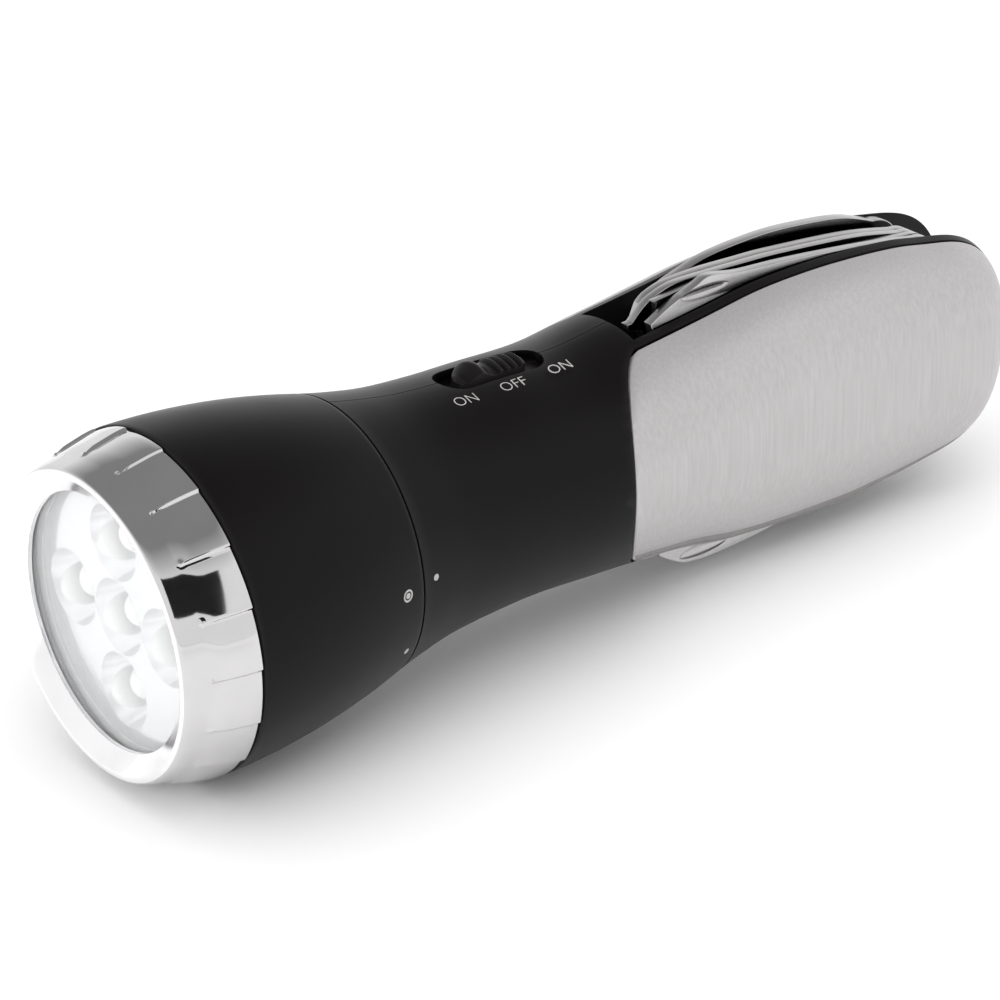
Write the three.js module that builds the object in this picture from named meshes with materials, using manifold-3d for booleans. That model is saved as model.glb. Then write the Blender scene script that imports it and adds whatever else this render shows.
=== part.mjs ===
// A multi-tool torch: a twist-off lamp head, a handle in two shells that holds three cells,
// and eight tools that fold into the handle between two steel side plates.
// Millimetres. The torch axis runs along X from the front rim towards the tail, and +Z is up.
// Angles round that axis count from the top towards the near side, which is -Y.

import * as THREE from 'three';
import { mergeVertices } from 'three/addons/utils/BufferGeometryUtils.js';
import Module from 'manifold-3d';

const wasm = await Module();
wasm.setup();

// Clearances, and how far a cutter runs past what it cuts
const seatGap = 0.3;
const layerGap = 0.2;
const partingGap = 0.3;
const overrun = 6;

// Head outline, which grows outwards from the spigot that the head turns on
const headLength = 37.9;
const seamWall = 4.1;
const bellFlare = 4;
const bezelLength = 10;
const bezelProud = 0.1;
const bellWall = 3.2;
const bellSteps = 7;

// Bezel: the share of its length and of its growth in radius at each ring
const rimInset = 2.65;
const rimEdge = 0.35;
const rimBevel = 0.25;
const rimFlat = 0.7;
const coneWidth = 2.56;
const lipDepth = 1.9;
const lipThickness = 0.5;
const skirtWall = 1.5;
const bezelRingShares = [[0.3, 0.35], [0.55, 0.63], [0.8, 0.88], [1, 1]];
const facetCount = 18;
const facetStep = 0.4;
const facetRampShares = [0, 0.46, 0.93];
const facetStartShare = 0.3;
const facetFullShare = 0.62;

// Lens, gasket, reflector, lamps and board
const lensOverlap = 1.96;
const lensThickness = 1.2;
const gasketThickness = 0.8;
const gasketWidth = 1.4;
const flangeThickness = 1;
const reflectorDepth = 8.7;
const reflectorTaper = 0.9;
const cupWeb = 0.2;
const cupMargin = 1.8;
const cupDepthShares = [0, 0.35, 0.75, 1];
const cupCurvePower = 0.6;
const lampRadius = 2.5;
const lampRimRadius = 2.9;
const lampRimHeight = 1;
const lampLength = 8.6;
const lampDomeShares = [0, 0.45, 0.8];
const boardInset = 1.5;
const boardThickness = 1.6;
const shelfWidth = 2;
const shelfThickness = 1.9;

// Cells and their holder
const cellRadius = 5.25;
const cellLength = 44.5;
const cellGap = 0.6;
const cellAngles = [60, 180, 300];
const halfTurn = 180;
const cellNubRadius = 2;
const cellNubLength = 0.9;
const cellSpringLength = 2.2;
const holderMargin = 0.55;
const holderDisc = 2.2;
const pillarRadius = 1.3;
const pillarCircle = 7.65;
const buttonRadius = 3.4;
const buttonHeight = 0.6;

// Coil springs and the leaf behind the holder
const headCoilRadius = 3;
const headCoilTurns = 3;
const coilWire = 0.35;
const cellCoilWideRadius = 3.6;
const cellCoilNarrowRadius = 2.2;
const cellCoilTurns = 1.5;
const leafRoom = 1.8;
const leafThickness = 0.3;
const leafHalfLength = 7;
const leafWidth = 5;

// Spigot and bayonet
const spigotLength = 10.9;
const spigotWall = 2.9;
const lugSetback = 1;
const lugLength = 2;
const lugHeight = 1.6;
const lugHalfAngle = 11;
const lugAngles = [90, 210, 330];
const keywaySpareAngle = 2;
const twistAngle = 27;
const sealTube = 0.9;
const sealSetback = 3;

// Handle outline: the barrel narrows to a waist, the grip swells and the tail rounds off
const shellWall = 2.2;
const bulkheadThickness = 3.7;
const waistMargin = 4.44;
const gripHalfWidth = 15.8;
const gripMargin = 8.85;
const earReach = 17;
const barrelAlongShares = [0, 0.088, 0.217, 0.388, 0.56];
const barrelFlareShares = [1, 0.667, 0.288, 0.074, 0];
const gripAlongShares = [-0.135, 0, 0.078, 0.177, 0.291, 0.39, 0.504, 0.674, 0.801, 1];
const gripWidthShares = [1.067, 1.05, 1.032, 1.016, 1, 0.99, 0.981, 0.956, 0.943, 0.943];
const gripTopShares = [0.808, 0.862, 0.885, 0.918, 0.963, 0.978, 0.972, 0.924, 0.845, 0.83];
const gripBottomShares = [0.864, 0.892, 0.906, 0.959, 0.988, 1.009, 1.024, 0.993, 0.946, 0.96];
const barrelPower = 2;
const gripPower = 2.6;
const squareShare = 0.35;
const tailPower = 2.4;
const tailCapShare = 0.985;
const ribThickness = 1.5;
const ribPlaceShare = 0.24;

// Side plates, laid flush in the handle's sides
const plateThickness = 1;
const wallEdge = 1.6;
const plateLead = 9;
const plateCornerReach = 12.3;
const plateCornerPower = 2.2;
const plateCornerSteps = 14;

// Slide switch
const switchAlongShare = 0.546;
const recessLength = 17.1;
const recessWidth = 6.8;
const recessDepth = 1.7;
const padThickness = 1.8;
const padMargin = 1.8;
const knobLength = 11.2;
const knobProud = 1.55;
const knobTravel = 2.4;
const knobShares = [
  [-0.5, 0.3], [-0.43, 0.62], [-0.32, 0.88], [-0.18, 1], [-0.06, 0.94], [0, 0.72],
];
const ridgeCount = 4;
const ridgePitchShare = 0.115;
const ridgeFootShare = 0.75;
const ridgeTopShares = [0.5, 0.25];
const ridgeLowShare = 0.68;
const ridgeHighShare = 0.9;
const knobHeelShare = 0.5;
const stemLength = 2.2;
const stemWidth = 2;
const stemReach = 1.1;
const switchBodyLength = 12.6;
const switchBodyWidth = 5.6;
const switchBodyHeight = 3.1;

// Tool bays: the layers run from the near wall to the far wall
const bladeThickness = 1.5;
const driverThickness = 1.1;
const openerThickness = 1.3;
const shaftThickness = 2.6;
const sawThickness = 1.8;
const tipClearance = 1.6;
const toolReach = 51.9;
const toolRise = 10.6;
const tangRadius = 5.4;
const springHalfHeight = 5.5;
const springSetback = 0.8;
const springSlitHeight = 1.6;
const springSlitShare = 0.5;
const springPinShares = [0.1, 0.4];
const pivotPinRadius = 1.5;
const springPinRadius = 1.3;
const pinBearing = 2;
const spacerWidth = 1.8;
const tangArcShares = [-0.52, 0.5];
const tangSteps = 8;
const spineSteps = 12;
const bladeSpineSteps = 16;

// Tool outlines as shares of the tools' reach and rise, counted from the pivot.
// A spine runs from the tang to the tip, and an edge back from the tip to the tang.
const knifeSpineShares = [
  [0.155, 0.642], [0.347, 0.764], [0.507, 0.849], [0.65, 0.906],
  [0.757, 1], [0.809, 0.925], [0.9, 0.764], [0.967, 0.6],
];
const knifeEdgeShares = [
  [0.945, 0.25], [0.88, -0.1], [0.78, -0.27], [0.6, -0.32], [0.2, -0.32], [0.17, -0.45],
];
const driverSpineShares = [
  [0.155, 0.6], [0.4, 0.7], [0.6, 0.76], [0.723, 0.877], [0.913, 0.82], [0.92, 0.8],
];
const driverEdgeShares = [[0.92, 0.42], [0.8, 0.3], [0.66, -0.1], [0.2, -0.25]];
const bottleSpineShares = [
  [0.185, 0.689], [0.459, 0.83], [0.6, 0.87], [0.72, 0.896],
  [0.832, 0.905], [0.9, 0.83], [0.94, 0.736], [0.983, 0.55],
];
const bottleEdgeShares = [
  [1, 0.547], [0.994, 0.45], [0.948, 0.396], [0.94, 0.1], [0.9, 0.02], [0.87, 0.3],
  [0.82, 0.42], [0.76, 0.36], [0.73, 0.15], [0.68, -0.1], [0.2, -0.3],
];
const canSpineShares = [
  [0.185, 0.689], [0.459, 0.83], [0.6, 0.87], [0.72, 0.896],
  [0.832, 0.88], [0.9, 0.8], [0.93, 0.7],
];
const canEdgeShares = [
  [0.95, 0.5], [0.93, 0.36], [0.86, 0.32], [0.83, 0.1], [0.81, -0.05],
  [0.76, 0.2], [0.7, 0.18], [0.66, -0.05], [0.2, -0.3],
];
const sawSpineShares = [
  [0.119, 0.717], [0.272, 0.849], [0.42, 0.925], [0.638, 0.915],
  [0.72, 0.8], [0.798, 0.679], [0.86, 0.4],
];
const sawNoseShares = [0.85, 0.1];
const sawTeethShares = [0.82, 0.22];
const sawEdgeShare = -0.3;
const sawToothShare = 0.09;
const sawToothCount = 15;
const fileSpineShares = [
  [0.155, 0.642], [0.347, 0.8], [0.553, 0.925], [0.7, 0.97],
  [0.775, 0.97], [0.84, 0.934], [0.884, 0.84], [0.934, 0.689],
];
const fileEdgeShares = [
  [0.96, 0.45], [0.93, 0.3], [0.8, 0.22], [0.75, 0], [0.2, -0.1], [0.17, -0.4],
];
const awlSpineShares = [[0.155, 0.6], [0.4, 0.68], [0.62, 0.66], [0.75, 0.5], [0.93, 0.2]];
const awlEdgeShares = [[0.72, 0.2], [0.5, -0.1], [0.2, -0.2]];
const shaftSpineShares = [[0.155, 0.56], [0.3, 0.52], [0.5, 0.46], [0.74, 0.46]];
const shaftEdgeShares = [[0.74, 0.1], [0.3, 0], [0.2, -0.25]];
const crossTipShare = 0.9;
const crossRadius = 2;
const crossFluteShare = 0.5;
const crossPointShare = 0.25;
const crossWings = 4;
const nickShares = [0.78, 0.815];
const nickHalfLength = 4.4;
const nickHalfHeight = 0.75;
const nickDepth = 0.45;
const bevelHeight = 4.6;
const bevelStartShare = 1.4;
const edgeThickness = 0.3;

// Thumb scallop in the near wall over the knife's nick
const scallopRadius = 12;
const scallopDrop = 1.65;
const scallopShare = 0.163;

// Faces round the turned forms
const outerFaces = 36;
const innerFaces = 24;
const smallFaces = 12;
const tinyFaces = 8;
const straightSteps = 12;
const tailSteps = 5;
const wireFaces = 5;
const wireSteps = 8;
const curveSteps = 4;
const sectorSteps = 3;

// Places worked out from the sizes above
const rad = THREE.MathUtils.degToRad;
const lensX = lipDepth + lipThickness + seatGap;
const gasketX = lensX + lensThickness + seatGap;
const flangeX = gasketX + gasketThickness + seatGap;
const reflectorEndX = gasketX + reflectorDepth;
const lampBaseX = reflectorEndX + seatGap + lampRimHeight;
const boardX = lampBaseX + seatGap;
const shelfX = boardX + boardThickness + seatGap;
const shelfEndX = shelfX + shelfThickness;
const cellCircle = (cellRadius + cellGap / 2) / Math.sin(Math.PI / cellAngles.length);
const holderRadius = cellCircle + cellRadius + holderMargin;
const waistRadius = holderRadius + waistMargin;
const spigotBore = holderRadius + seatGap;
const spigotRadius = spigotBore + spigotWall;
const lugRadius = spigotRadius + lugHeight;
const seamRadius = spigotRadius + seamWall;
const headRadius = seamRadius + bellFlare;
const bellRadius = headRadius - bezelProud;
const rimRadius = headRadius - rimInset;
const rimFlatOuter = rimRadius - rimBevel;
const rimFlatInner = rimFlatOuter - rimFlat;
const lensOpening = rimFlatInner - coneWidth;
const lensRadius = lensOpening + lensOverlap;
const lensBore = lensRadius + seatGap;
const skirtRadius = lensBore + skirtWall;
const boardRadius = lensRadius - boardInset;
const reflectorRadius = lensRadius - gasketWidth - seatGap;
const cupRadius = (reflectorRadius - cupWeb - cupMargin) / 3;
const cupCircle = 2 * cupRadius + cupWeb;
const cupThroat = lampRadius + seatGap;
const spigotX = headLength - spigotLength;
const lugX = spigotX + lugSetback;
const lugEndX = lugX + lugLength;
const holderX = spigotX;
const cellsX = holderX + holderDisc;
const cellRoomLength = cellLength + cellSpringLength + 3 * seatGap;
const holderEndX = cellsX + cellRoomLength + holderDisc;
const bulkheadX = holderEndX + leafRoom;
const slotX = bulkheadX + bulkheadThickness;
const pivotX = slotX + tipClearance + toolReach;
const pivotZ = springHalfHeight + seatGap + tangRadius;
const gripHalfHeight = pivotZ + gripMargin;
const handleEndX = pivotX + earReach;
const barrelLength = slotX - headLength;
const gripLength = handleEndX - slotX;
const switchX = headLength + switchAlongShare * cellRoomLength;
const recessFloorZ = waistRadius - recessDepth;
const padUnderZ = recessFloorZ - padThickness;
const switchTopZ = padUnderZ - seatGap;
const stemBottomZ = switchTopZ - stemReach;
const layerThicknesses = [
  bladeThickness, driverThickness, openerThickness, openerThickness, shaftThickness, sawThickness,
];
const stackWidth = layerThicknesses.reduce((sum, thickness) => sum + thickness + layerGap, -layerGap);
const slotHalfWidth = stackWidth / 2 + seatGap;
const pinHalfLength = slotHalfWidth + pinBearing;
const platePlane = slotHalfWidth + wallEdge;
const plateX = slotX - plateLead;
const springX = slotX + seatGap;
const springEndX = pivotX - springSetback;

// The near and far face of each tool layer
const layers = [];
let layerStart = -stackWidth / 2;
for (const thickness of layerThicknesses) {
  layers.push([layerStart, layerStart + thickness]);
  layerStart += thickness + layerGap;
}

// Colours and finishes
function finish(color, roughness, metalness) {
  return new THREE.MeshStandardMaterial({ color, roughness, metalness });
}

const satinBlack = () => finish(0x1d1b1c, 0.42, 0);
const darkPlastic = () => finish(0x2c2b2d, 0.55, 0);
const rubber = () => finish(0x151515, 0.8, 0);
const chrome = () => finish(0xdadadd, 0.08, 1);
const silvered = () => finish(0xf2f2f4, 0.06, 1);
const plateSteel = () => finish(0xc8c5c5, 0.38, 1);
const toolSteel = () => finish(0xbdbcbe, 0.2, 1);
const springSteel = () => finish(0x9a9a9e, 0.3, 1);
const lampPlastic = () => finish(0xfdfdf6, 0.15, 0);
const boardFace = () => finish(0x2f5a3a, 0.6, 0);
const cellSleeve = () => finish(0x6d7378, 0.4, 0.2);

function clearPlastic() {
  const material = finish(0xf4f8fb, 0.05, 0);
  material.transparent = true;
  material.opacity = 0.35;
  return material;
}

// Geometries to solids and back
function solid(geometry) {
  const plain = geometry.clone();
  plain.deleteAttribute('normal');
  plain.deleteAttribute('uv');
  const merged = mergeVertices(plain);
  const corners = merged.index.array;
  const kept = [];
  for (let i = 0; i < corners.length; i += 3) {
    const [a, b, c] = corners.slice(i, i + 3);
    if (a !== b && b !== c && c !== a) {
      kept.push(a, b, c);
    }
  }
  return new wasm.Manifold(new wasm.Mesh({
    numProp: 3,
    vertProperties: new Float32Array(merged.attributes.position.array),
    triVerts: new Uint32Array(kept),
  }));
}

function shapeOf(manifold) {
  const { vertProperties, triVerts } = manifold.getMesh();
  const geometry = new THREE.BufferGeometry();
  geometry.setAttribute('position', new THREE.BufferAttribute(new Float32Array(vertProperties), 3));
  geometry.setIndex(new THREE.BufferAttribute(new Uint32Array(triVerts), 1));
  geometry.computeVertexNormals();
  return geometry;
}

function joined(geometries) {
  return geometries.map(solid).reduce((sum, next) => sum.add(next));
}

function cut(body, geometries) {
  return geometries.map(solid).reduce((rest, cutter) => rest.subtract(cutter), body);
}

// Plain forms, placed in the torch's frame
function turned(profile, faces) {
  const points = profile.map(([x, radius]) => new THREE.Vector2(radius, x));
  return new THREE.LatheGeometry(points, faces).rotateZ(-Math.PI / 2);
}

function turnedRing(profile, faces) {
  return turned([...profile, profile[0]], faces);
}

function rod(x0, x1, radius, faces = innerFaces) {
  return turned([[x0, 0], [x0, radius], [x1, radius], [x1, 0]], faces);
}

function ring(x0, x1, inner, outer, faces = innerFaces) {
  return turnedRing([[x0, outer], [x1, outer], [x1, inner], [x0, inner]], faces);
}

function block([x0, x1], [y0, y1], [z0, z1]) {
  const geometry = new THREE.BoxGeometry(x1 - x0, y1 - y0, z1 - z0);
  return geometry.translate((x0 + x1) / 2, (y0 + y1) / 2, (z0 + z1) / 2);
}

// A side view given a thickness across the torch
function slab(shape, y0, y1) {
  const options = { depth: y1 - y0, bevelEnabled: false, curveSegments: curveSteps };
  return new THREE.ExtrudeGeometry(shape, options).rotateX(Math.PI / 2).translate(0, y1, 0);
}

// A plan view given a height
function prism(shape, z0, z1) {
  const options = { depth: z1 - z0, bevelEnabled: false, curveSegments: curveSteps };
  return new THREE.ExtrudeGeometry(shape, options).translate(0, 0, z0);
}

// A front view sector of a ring, given a length along the torch
function sector(x0, x1, inner, outer, middle, half) {
  const shape = new THREE.Shape();
  shape.absarc(0, 0, outer, rad(middle - half), rad(middle + half), false);
  shape.absarc(0, 0, inner, rad(middle + half), rad(middle - half), true);
  const options = { depth: x1 - x0, bevelEnabled: false, curveSegments: sectorSteps };
  const upright = new THREE.Matrix4().makeBasis(
    new THREE.Vector3(0, 0, 1),
    new THREE.Vector3(0, -1, 0),
    new THREE.Vector3(1, 0, 0),
  );
  return new THREE.ExtrudeGeometry(shape, options).applyMatrix4(upright).translate(x0, 0, 0);
}

function crossRod(x, z, radius, y0, y1, faces = smallFaces) {
  const geometry = new THREE.CylinderGeometry(radius, radius, y1 - y0, faces);
  return geometry.translate(x, (y0 + y1) / 2, z);
}

// An oval with straight sides, for the switch
function oval(length, width) {
  const radius = width / 2;
  const reach = length / 2 - radius;
  const shape = new THREE.Shape();
  shape.absarc(reach, 0, radius, -Math.PI / 2, Math.PI / 2, false);
  shape.absarc(-reach, 0, radius, Math.PI / 2, Math.PI * 1.5, false);
  return shape;
}

// A wire wound round a line along X
class CoilCurve extends THREE.Curve {
  constructor(x0, x1, radius0, radius1, turns) {
    super();
    this.start = x0;
    this.length = x1 - x0;
    this.radius = radius0;
    this.growth = radius1 - radius0;
    this.turns = turns;
  }

  getPoint(t, target = new THREE.Vector3()) {
    const angle = 2 * Math.PI * this.turns * t;
    const radius = this.radius + this.growth * t;
    return target.set(this.start + this.length * t, radius * Math.cos(angle), radius * Math.sin(angle));
  }
}

function coil(x0, x1, radius0, radius1, turns) {
  const corners = [];
  for (let i = 0; i < wireFaces; i += 1) {
    const angle = (2 * Math.PI * i) / wireFaces;
    corners.push(new THREE.Vector2(coilWire * Math.cos(angle), coilWire * Math.sin(angle)));
  }
  const extrudePath = new CoilCurve(x0 + coilWire, x1 - coilWire, radius0, radius1, turns);
  const options = { steps: Math.round(turns * wireSteps), extrudePath, bevelEnabled: false };
  return new THREE.ExtrudeGeometry(new THREE.Shape(corners), options);
}

// The handle's half width, its height over the axis and its depth under it, along its length
const barrelSizes = barrelFlareShares.flatMap((share) => {
  const radius = waistRadius + share * (seamRadius - waistRadius);
  return [radius, radius, radius];
});
const gripSizes = gripWidthShares.flatMap((share, i) => [
  share * gripHalfWidth,
  gripTopShares[i] * gripHalfHeight,
  gripBottomShares[i] * gripHalfHeight,
]);
const handleCurve = new THREE.CubicInterpolant(
  [
    ...barrelAlongShares.map((share) => headLength + share * barrelLength),
    ...gripAlongShares.map((share) => slotX + share * gripLength),
  ],
  [...barrelSizes, ...gripSizes],
  3,
);

// The section is an ellipse in the barrel and squares up in the grip
function sectionAt(x, inset) {
  const [width, top, bottom] = handleCurve.evaluate(x);
  const reach = Math.max(0, x - pivotX) / (handleEndX - inset - pivotX);
  const rounding = (1 - reach ** tailPower) ** (1 / tailPower);
  const squareness = THREE.MathUtils.smoothstep(x, plateX, slotX + squareShare * gripLength);
  return {
    width: (width - inset) * rounding,
    top: (top - inset) * rounding,
    bottom: (bottom - inset) * rounding,
    power: barrelPower + (gripPower - barrelPower) * squareness,
  };
}

// The handle's whole form, drawn in by an inset
function handleForm(inset, faces = outerFaces) {
  const places = [];
  for (let i = 0; i <= straightSteps; i += 1) {
    places.push(headLength + ((pivotX - headLength) * i) / straightSteps);
  }
  const tailLength = (handleEndX - inset - pivotX) * tailCapShare;
  for (let i = 1; i <= tailSteps; i += 1) {
    places.push(pivotX + tailLength * Math.sin((Math.PI / 2) * (i / tailSteps)));
  }
  const rings = places.map((x) => [x, 1]);
  const geometry = turned([[places[0], 0], ...rings, [places[places.length - 1], 0]], faces);
  const position = geometry.attributes.position;
  for (let i = 0; i < position.count; i += 1) {
    const { width, top, bottom, power } = sectionAt(position.getX(i), inset);
    const y = position.getY(i);
    const z = position.getZ(i);
    const height = z > 0 ? top : bottom;
    position.setY(i, width * Math.sign(y) * Math.abs(y) ** (2 / power));
    position.setZ(i, height * Math.sign(z) * Math.abs(z) ** (2 / power));
  }
  return geometry;
}

// Lamp head
function bezelRadiusAt(share) {
  return rimRadius + (headRadius - facetStep - rimRadius) * share;
}

function bezel() {
  const rings = bezelRingShares.map(([along, growth]) => [bezelLength * along, bezelRadiusAt(growth)]);
  const skirtEndX = shelfX - seatGap;
  const lipEndX = lipDepth + lipThickness;
  const profile = [
    [0, rimFlatInner],
    [0, rimFlatOuter],
    [rimEdge, rimRadius],
    ...rings,
    [bezelLength, skirtRadius],
    [skirtEndX, skirtRadius],
    [skirtEndX, lensBore],
    [lipEndX, lensBore],
    [lipEndX, lensOpening],
    [lipDepth, lensOpening],
  ];
  const ramp = facetRampShares.length;
  const geometry = turnedRing(profile, facetCount * ramp);
  const position = geometry.attributes.position;
  const facetAngle = (2 * Math.PI) / facetCount;
  for (let i = 0; i < position.count; i += 1) {
    const x = position.getX(i);
    const y = position.getY(i);
    const z = position.getZ(i);
    const radius = Math.hypot(y, z);
    const column = Math.round((Math.atan2(-y, z) / facetAngle) * ramp + facetCount * ramp);
    const share = facetRampShares[column % ramp];
    const angle = (Math.floor(column / ramp) + 0.5 + share) * facetAngle;
    const onFacet = radius > skirtRadius + seatGap / 2 && x <= bezelLength;
    const along = (x / bezelLength - facetStartShare) / (facetFullShare - facetStartShare);
    const rise = onFacet ? facetStep * share * THREE.MathUtils.clamp(along, 0, 1) : 0;
    position.setY(i, -(radius + rise) * Math.sin(angle));
    position.setZ(i, (radius + rise) * Math.cos(angle));
  }
  return geometry;
}

function lens() {
  return rod(lensX, lensX + lensThickness, lensRadius);
}

function lensGasket() {
  return ring(gasketX, gasketX + gasketThickness, lensRadius - gasketWidth, lensRadius);
}

const cupPlaces = {
  centre: [0, 0],
  top: [0, cupCircle],
  near: [-cupCircle, 0],
  bottom: [0, -cupCircle],
  far: [cupCircle, 0],
};

function cup([y, z]) {
  const wall = cupDepthShares.map((share) => [
    gasketX + share * reflectorDepth,
    cupThroat + (cupRadius - cupThroat) * (1 - share) ** cupCurvePower,
  ]);
  const profile = [
    [gasketX - overrun, 0],
    [gasketX - overrun, cupRadius],
    ...wall,
    [reflectorEndX + overrun, cupThroat],
    [reflectorEndX + overrun, 0],
  ];
  return turned(profile, smallFaces).translate(0, y, z);
}

function reflector() {
  const profile = [
    [gasketX, 0],
    [gasketX, reflectorRadius],
    [flangeX, reflectorRadius],
    [flangeX, lensRadius],
    [flangeX + flangeThickness, lensRadius],
    [flangeX + flangeThickness, reflectorRadius],
    [reflectorEndX, reflectorRadius - reflectorTaper],
    [reflectorEndX, 0],
  ];
  return shapeOf(cut(solid(turned(profile, outerFaces)), Object.values(cupPlaces).map(cup)));
}

function lamp() {
  const domeX = lampBaseX - lampLength + lampRadius;
  const dome = lampDomeShares.map((share) => {
    const angle = (Math.PI / 2) * share;
    return [domeX - lampRadius * Math.cos(angle), lampRadius * Math.sin(angle)];
  });
  return turned([
    ...dome,
    [domeX, lampRadius],
    [lampBaseX - lampRimHeight, lampRadius],
    [lampBaseX - lampRimHeight, lampRimRadius],
    [lampBaseX, lampRimRadius],
    [lampBaseX, 0],
  ], tinyFaces);
}

function ledBoard() {
  return rod(boardX, boardX + boardThickness, boardRadius);
}

function bellRadiusAt(x) {
  const along = (x - bezelLength) / (headLength - bezelLength);
  return bellRadius - (bellRadius - seamRadius) * along ** 2;
}

function headBell() {
  const frontX = bezelLength + seatGap;
  const rearX = headLength - seatGap;
  const outer = [];
  for (let i = 0; i <= bellSteps; i += 1) {
    const x = frontX + ((rearX - frontX) * i) / bellSteps;
    outer.push([x, bellRadiusAt(x)]);
  }
  const boreRadius = spigotRadius + seatGap;
  const lugRoomRadius = lugRadius + 2 * seatGap;
  const catchX = lugEndX + seatGap;
  const shelfBore = boardRadius - shelfWidth;
  const profile = [
    ...outer,
    [rearX, boreRadius],
    [catchX, boreRadius],
    [catchX, lugRoomRadius],
    [spigotX - seatGap, lugRoomRadius],
    [shelfEndX, bellRadiusAt(shelfEndX) - bellWall],
    [shelfEndX, shelfBore],
    [shelfX, shelfBore],
    [shelfX, skirtRadius + seatGap],
    [frontX, skirtRadius + seatGap],
  ];
  const keyways = lugAngles.map((angle) => sector(
    lugX,
    rearX + overrun,
    boreRadius - seatGap,
    lugRadius + seatGap,
    angle + twistAngle,
    lugHalfAngle + keywaySpareAngle,
  ));
  return shapeOf(cut(solid(turnedRing(profile, outerFaces)), keyways));
}

function headCoil() {
  const startX = boardX + boardThickness + seatGap;
  return coil(startX, holderX - buttonHeight - seatGap, headCoilRadius, headCoilRadius, headCoilTurns);
}

// Handle shells
function springPinX(share) {
  return springX + share * (springEndX - springX);
}

function switchCutters() {
  const slotReach = stemLength / 2 + knobTravel + seatGap;
  const slotWidth = stemWidth / 2 + seatGap;
  const recess = prism(oval(recessLength, recessWidth), recessFloorZ, waistRadius + overrun);
  const stemSlot = block(
    [-slotReach, slotReach],
    [-slotWidth, slotWidth],
    [padUnderZ - overrun / 2, waistRadius],
  );
  return [recess.translate(switchX, 0, 0), stemSlot.translate(switchX, 0, 0)];
}

// How far over and under the axis the plates' inner plane meets the handle's surface
function plateEdgesAt(x) {
  const { width, top, bottom, power } = sectionAt(x, 0);
  const share = (1 - (platePlane / width) ** power) ** (1 / power);
  return [top * share, bottom * share];
}

function plateOutline(spare) {
  const reach = plateCornerReach;
  const [topEdge, bottomEdge] = plateEdgesAt(plateX + reach);
  const cornerX = plateX - spare + reach;
  const tall = gripHalfHeight + overrun;
  const shape = new THREE.Shape();
  shape.moveTo(handleEndX + overrun, -tall);
  shape.lineTo(handleEndX + overrun, tall);
  shape.lineTo(cornerX, tall);
  for (let i = 0; i <= plateCornerSteps; i += 1) {
    const angle = Math.PI * (0.5 + i / plateCornerSteps);
    const along = Math.abs(Math.cos(angle)) ** (2 / plateCornerPower);
    const up = Math.sign(Math.sin(angle)) * Math.abs(Math.sin(angle)) ** (2 / plateCornerPower);
    const height = up > 0 ? topEdge : bottomEdge;
    shape.lineTo(cornerX - reach * along, (height + spare) * up);
  }
  shape.lineTo(cornerX, -tall);
  return shape;
}

// The room round one side plate, or the plate's own outline where nothing is spared
function plateRegion(side, spare) {
  const inner = platePlane - spare;
  const outer = seamRadius + overrun;
  const [y0, y1] = side < 0 ? [-outer, -inner] : [inner, outer];
  return solid(slab(plateOutline(spare), y0, y1));
}

function pinHoles() {
  const reach = pinHalfLength + seatGap;
  const pivots = [pivotZ, -pivotZ].map((z) => (
    crossRod(pivotX, z, pivotPinRadius + seatGap, -reach, reach)
  ));
  const springs = springPinShares.map((share) => (
    crossRod(springPinX(share), 0, springPinRadius + seatGap, -reach, reach)
  ));
  return [...pivots, ...springs];
}

function handleBody() {
  const form = solid(handleForm(0));
  const roomX = headLength + shellWall;
  const ribs = [roomX + ribPlaceShare * (bulkheadX - roomX), holderEndX - holderDisc].map((x) => (
    ring(x, x + ribThickness, spigotBore, seamRadius)
  ));
  const padLength = recessLength + padMargin;
  const padWidth = recessWidth + padMargin;
  const pad = block(
    [switchX - padLength / 2, switchX + padLength / 2],
    [-padWidth / 2, padWidth / 2],
    [padUnderZ, waistRadius],
  );
  const roomBlock = block([roomX, bulkheadX], [-headRadius, headRadius], [-headRadius, headRadius]);
  const roomForm = solid(handleForm(shellWall, innerFaces)).intersect(solid(roomBlock));
  const room = cut(roomForm, [...ribs, pad]);
  const groove = ring(
    headLength - sealSetback - sealTube - seatGap,
    headLength - sealSetback + sealTube + seatGap,
    spigotRadius - 2 * sealTube - seatGap,
    spigotRadius + overrun / 2,
    outerFaces,
  );
  const spigot = cut(solid(ring(spigotX, roomX, spigotBore, spigotRadius, outerFaces)), [groove]);
  const lugs = joined(lugAngles.map((angle) => (
    sector(lugX, lugEndX, spigotRadius - spigotWall / 2, lugRadius, angle, lugHalfAngle)
  )));
  const tall = gripHalfHeight + overrun;
  const bay = block([slotX, handleEndX + overrun], [-slotHalfWidth, slotHalfWidth], [-tall, tall]);
  const doorway = rod(headLength - overrun, roomX + overrun / 2, spigotBore, outerFaces);
  const hollow = form.subtract(room).subtract(solid(doorway));
  const body = cut(hollow, [bay, ...switchCutters(), ...pinHoles()]).add(spigot).add(lugs);
  const skin = solid(handleForm(plateThickness + seatGap));
  const recesses = [-1, 1].map((side) => plateRegion(side, seatGap).subtract(skin));
  return recesses.reduce((rest, recess) => rest.subtract(recess), body);
}

const handle = handleBody();

function shell(side) {
  const wide = headRadius + overrun;
  const [y0, y1] = side < 0 ? [-wide, -partingGap / 2] : [partingGap / 2, wide];
  const half = handle.intersect(solid(block([0, handleEndX], [y0, y1], [-wide, wide])));
  if (side > 0) {
    return shapeOf(half);
  }
  const scallopX = slotX + scallopShare * gripLength;
  const scallopZ = gripHalfHeight - scallopDrop + scallopRadius;
  const scallop = crossRod(scallopX, scallopZ, scallopRadius, -platePlane, 0, outerFaces);
  return shapeOf(cut(half, [scallop]));
}

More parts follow.
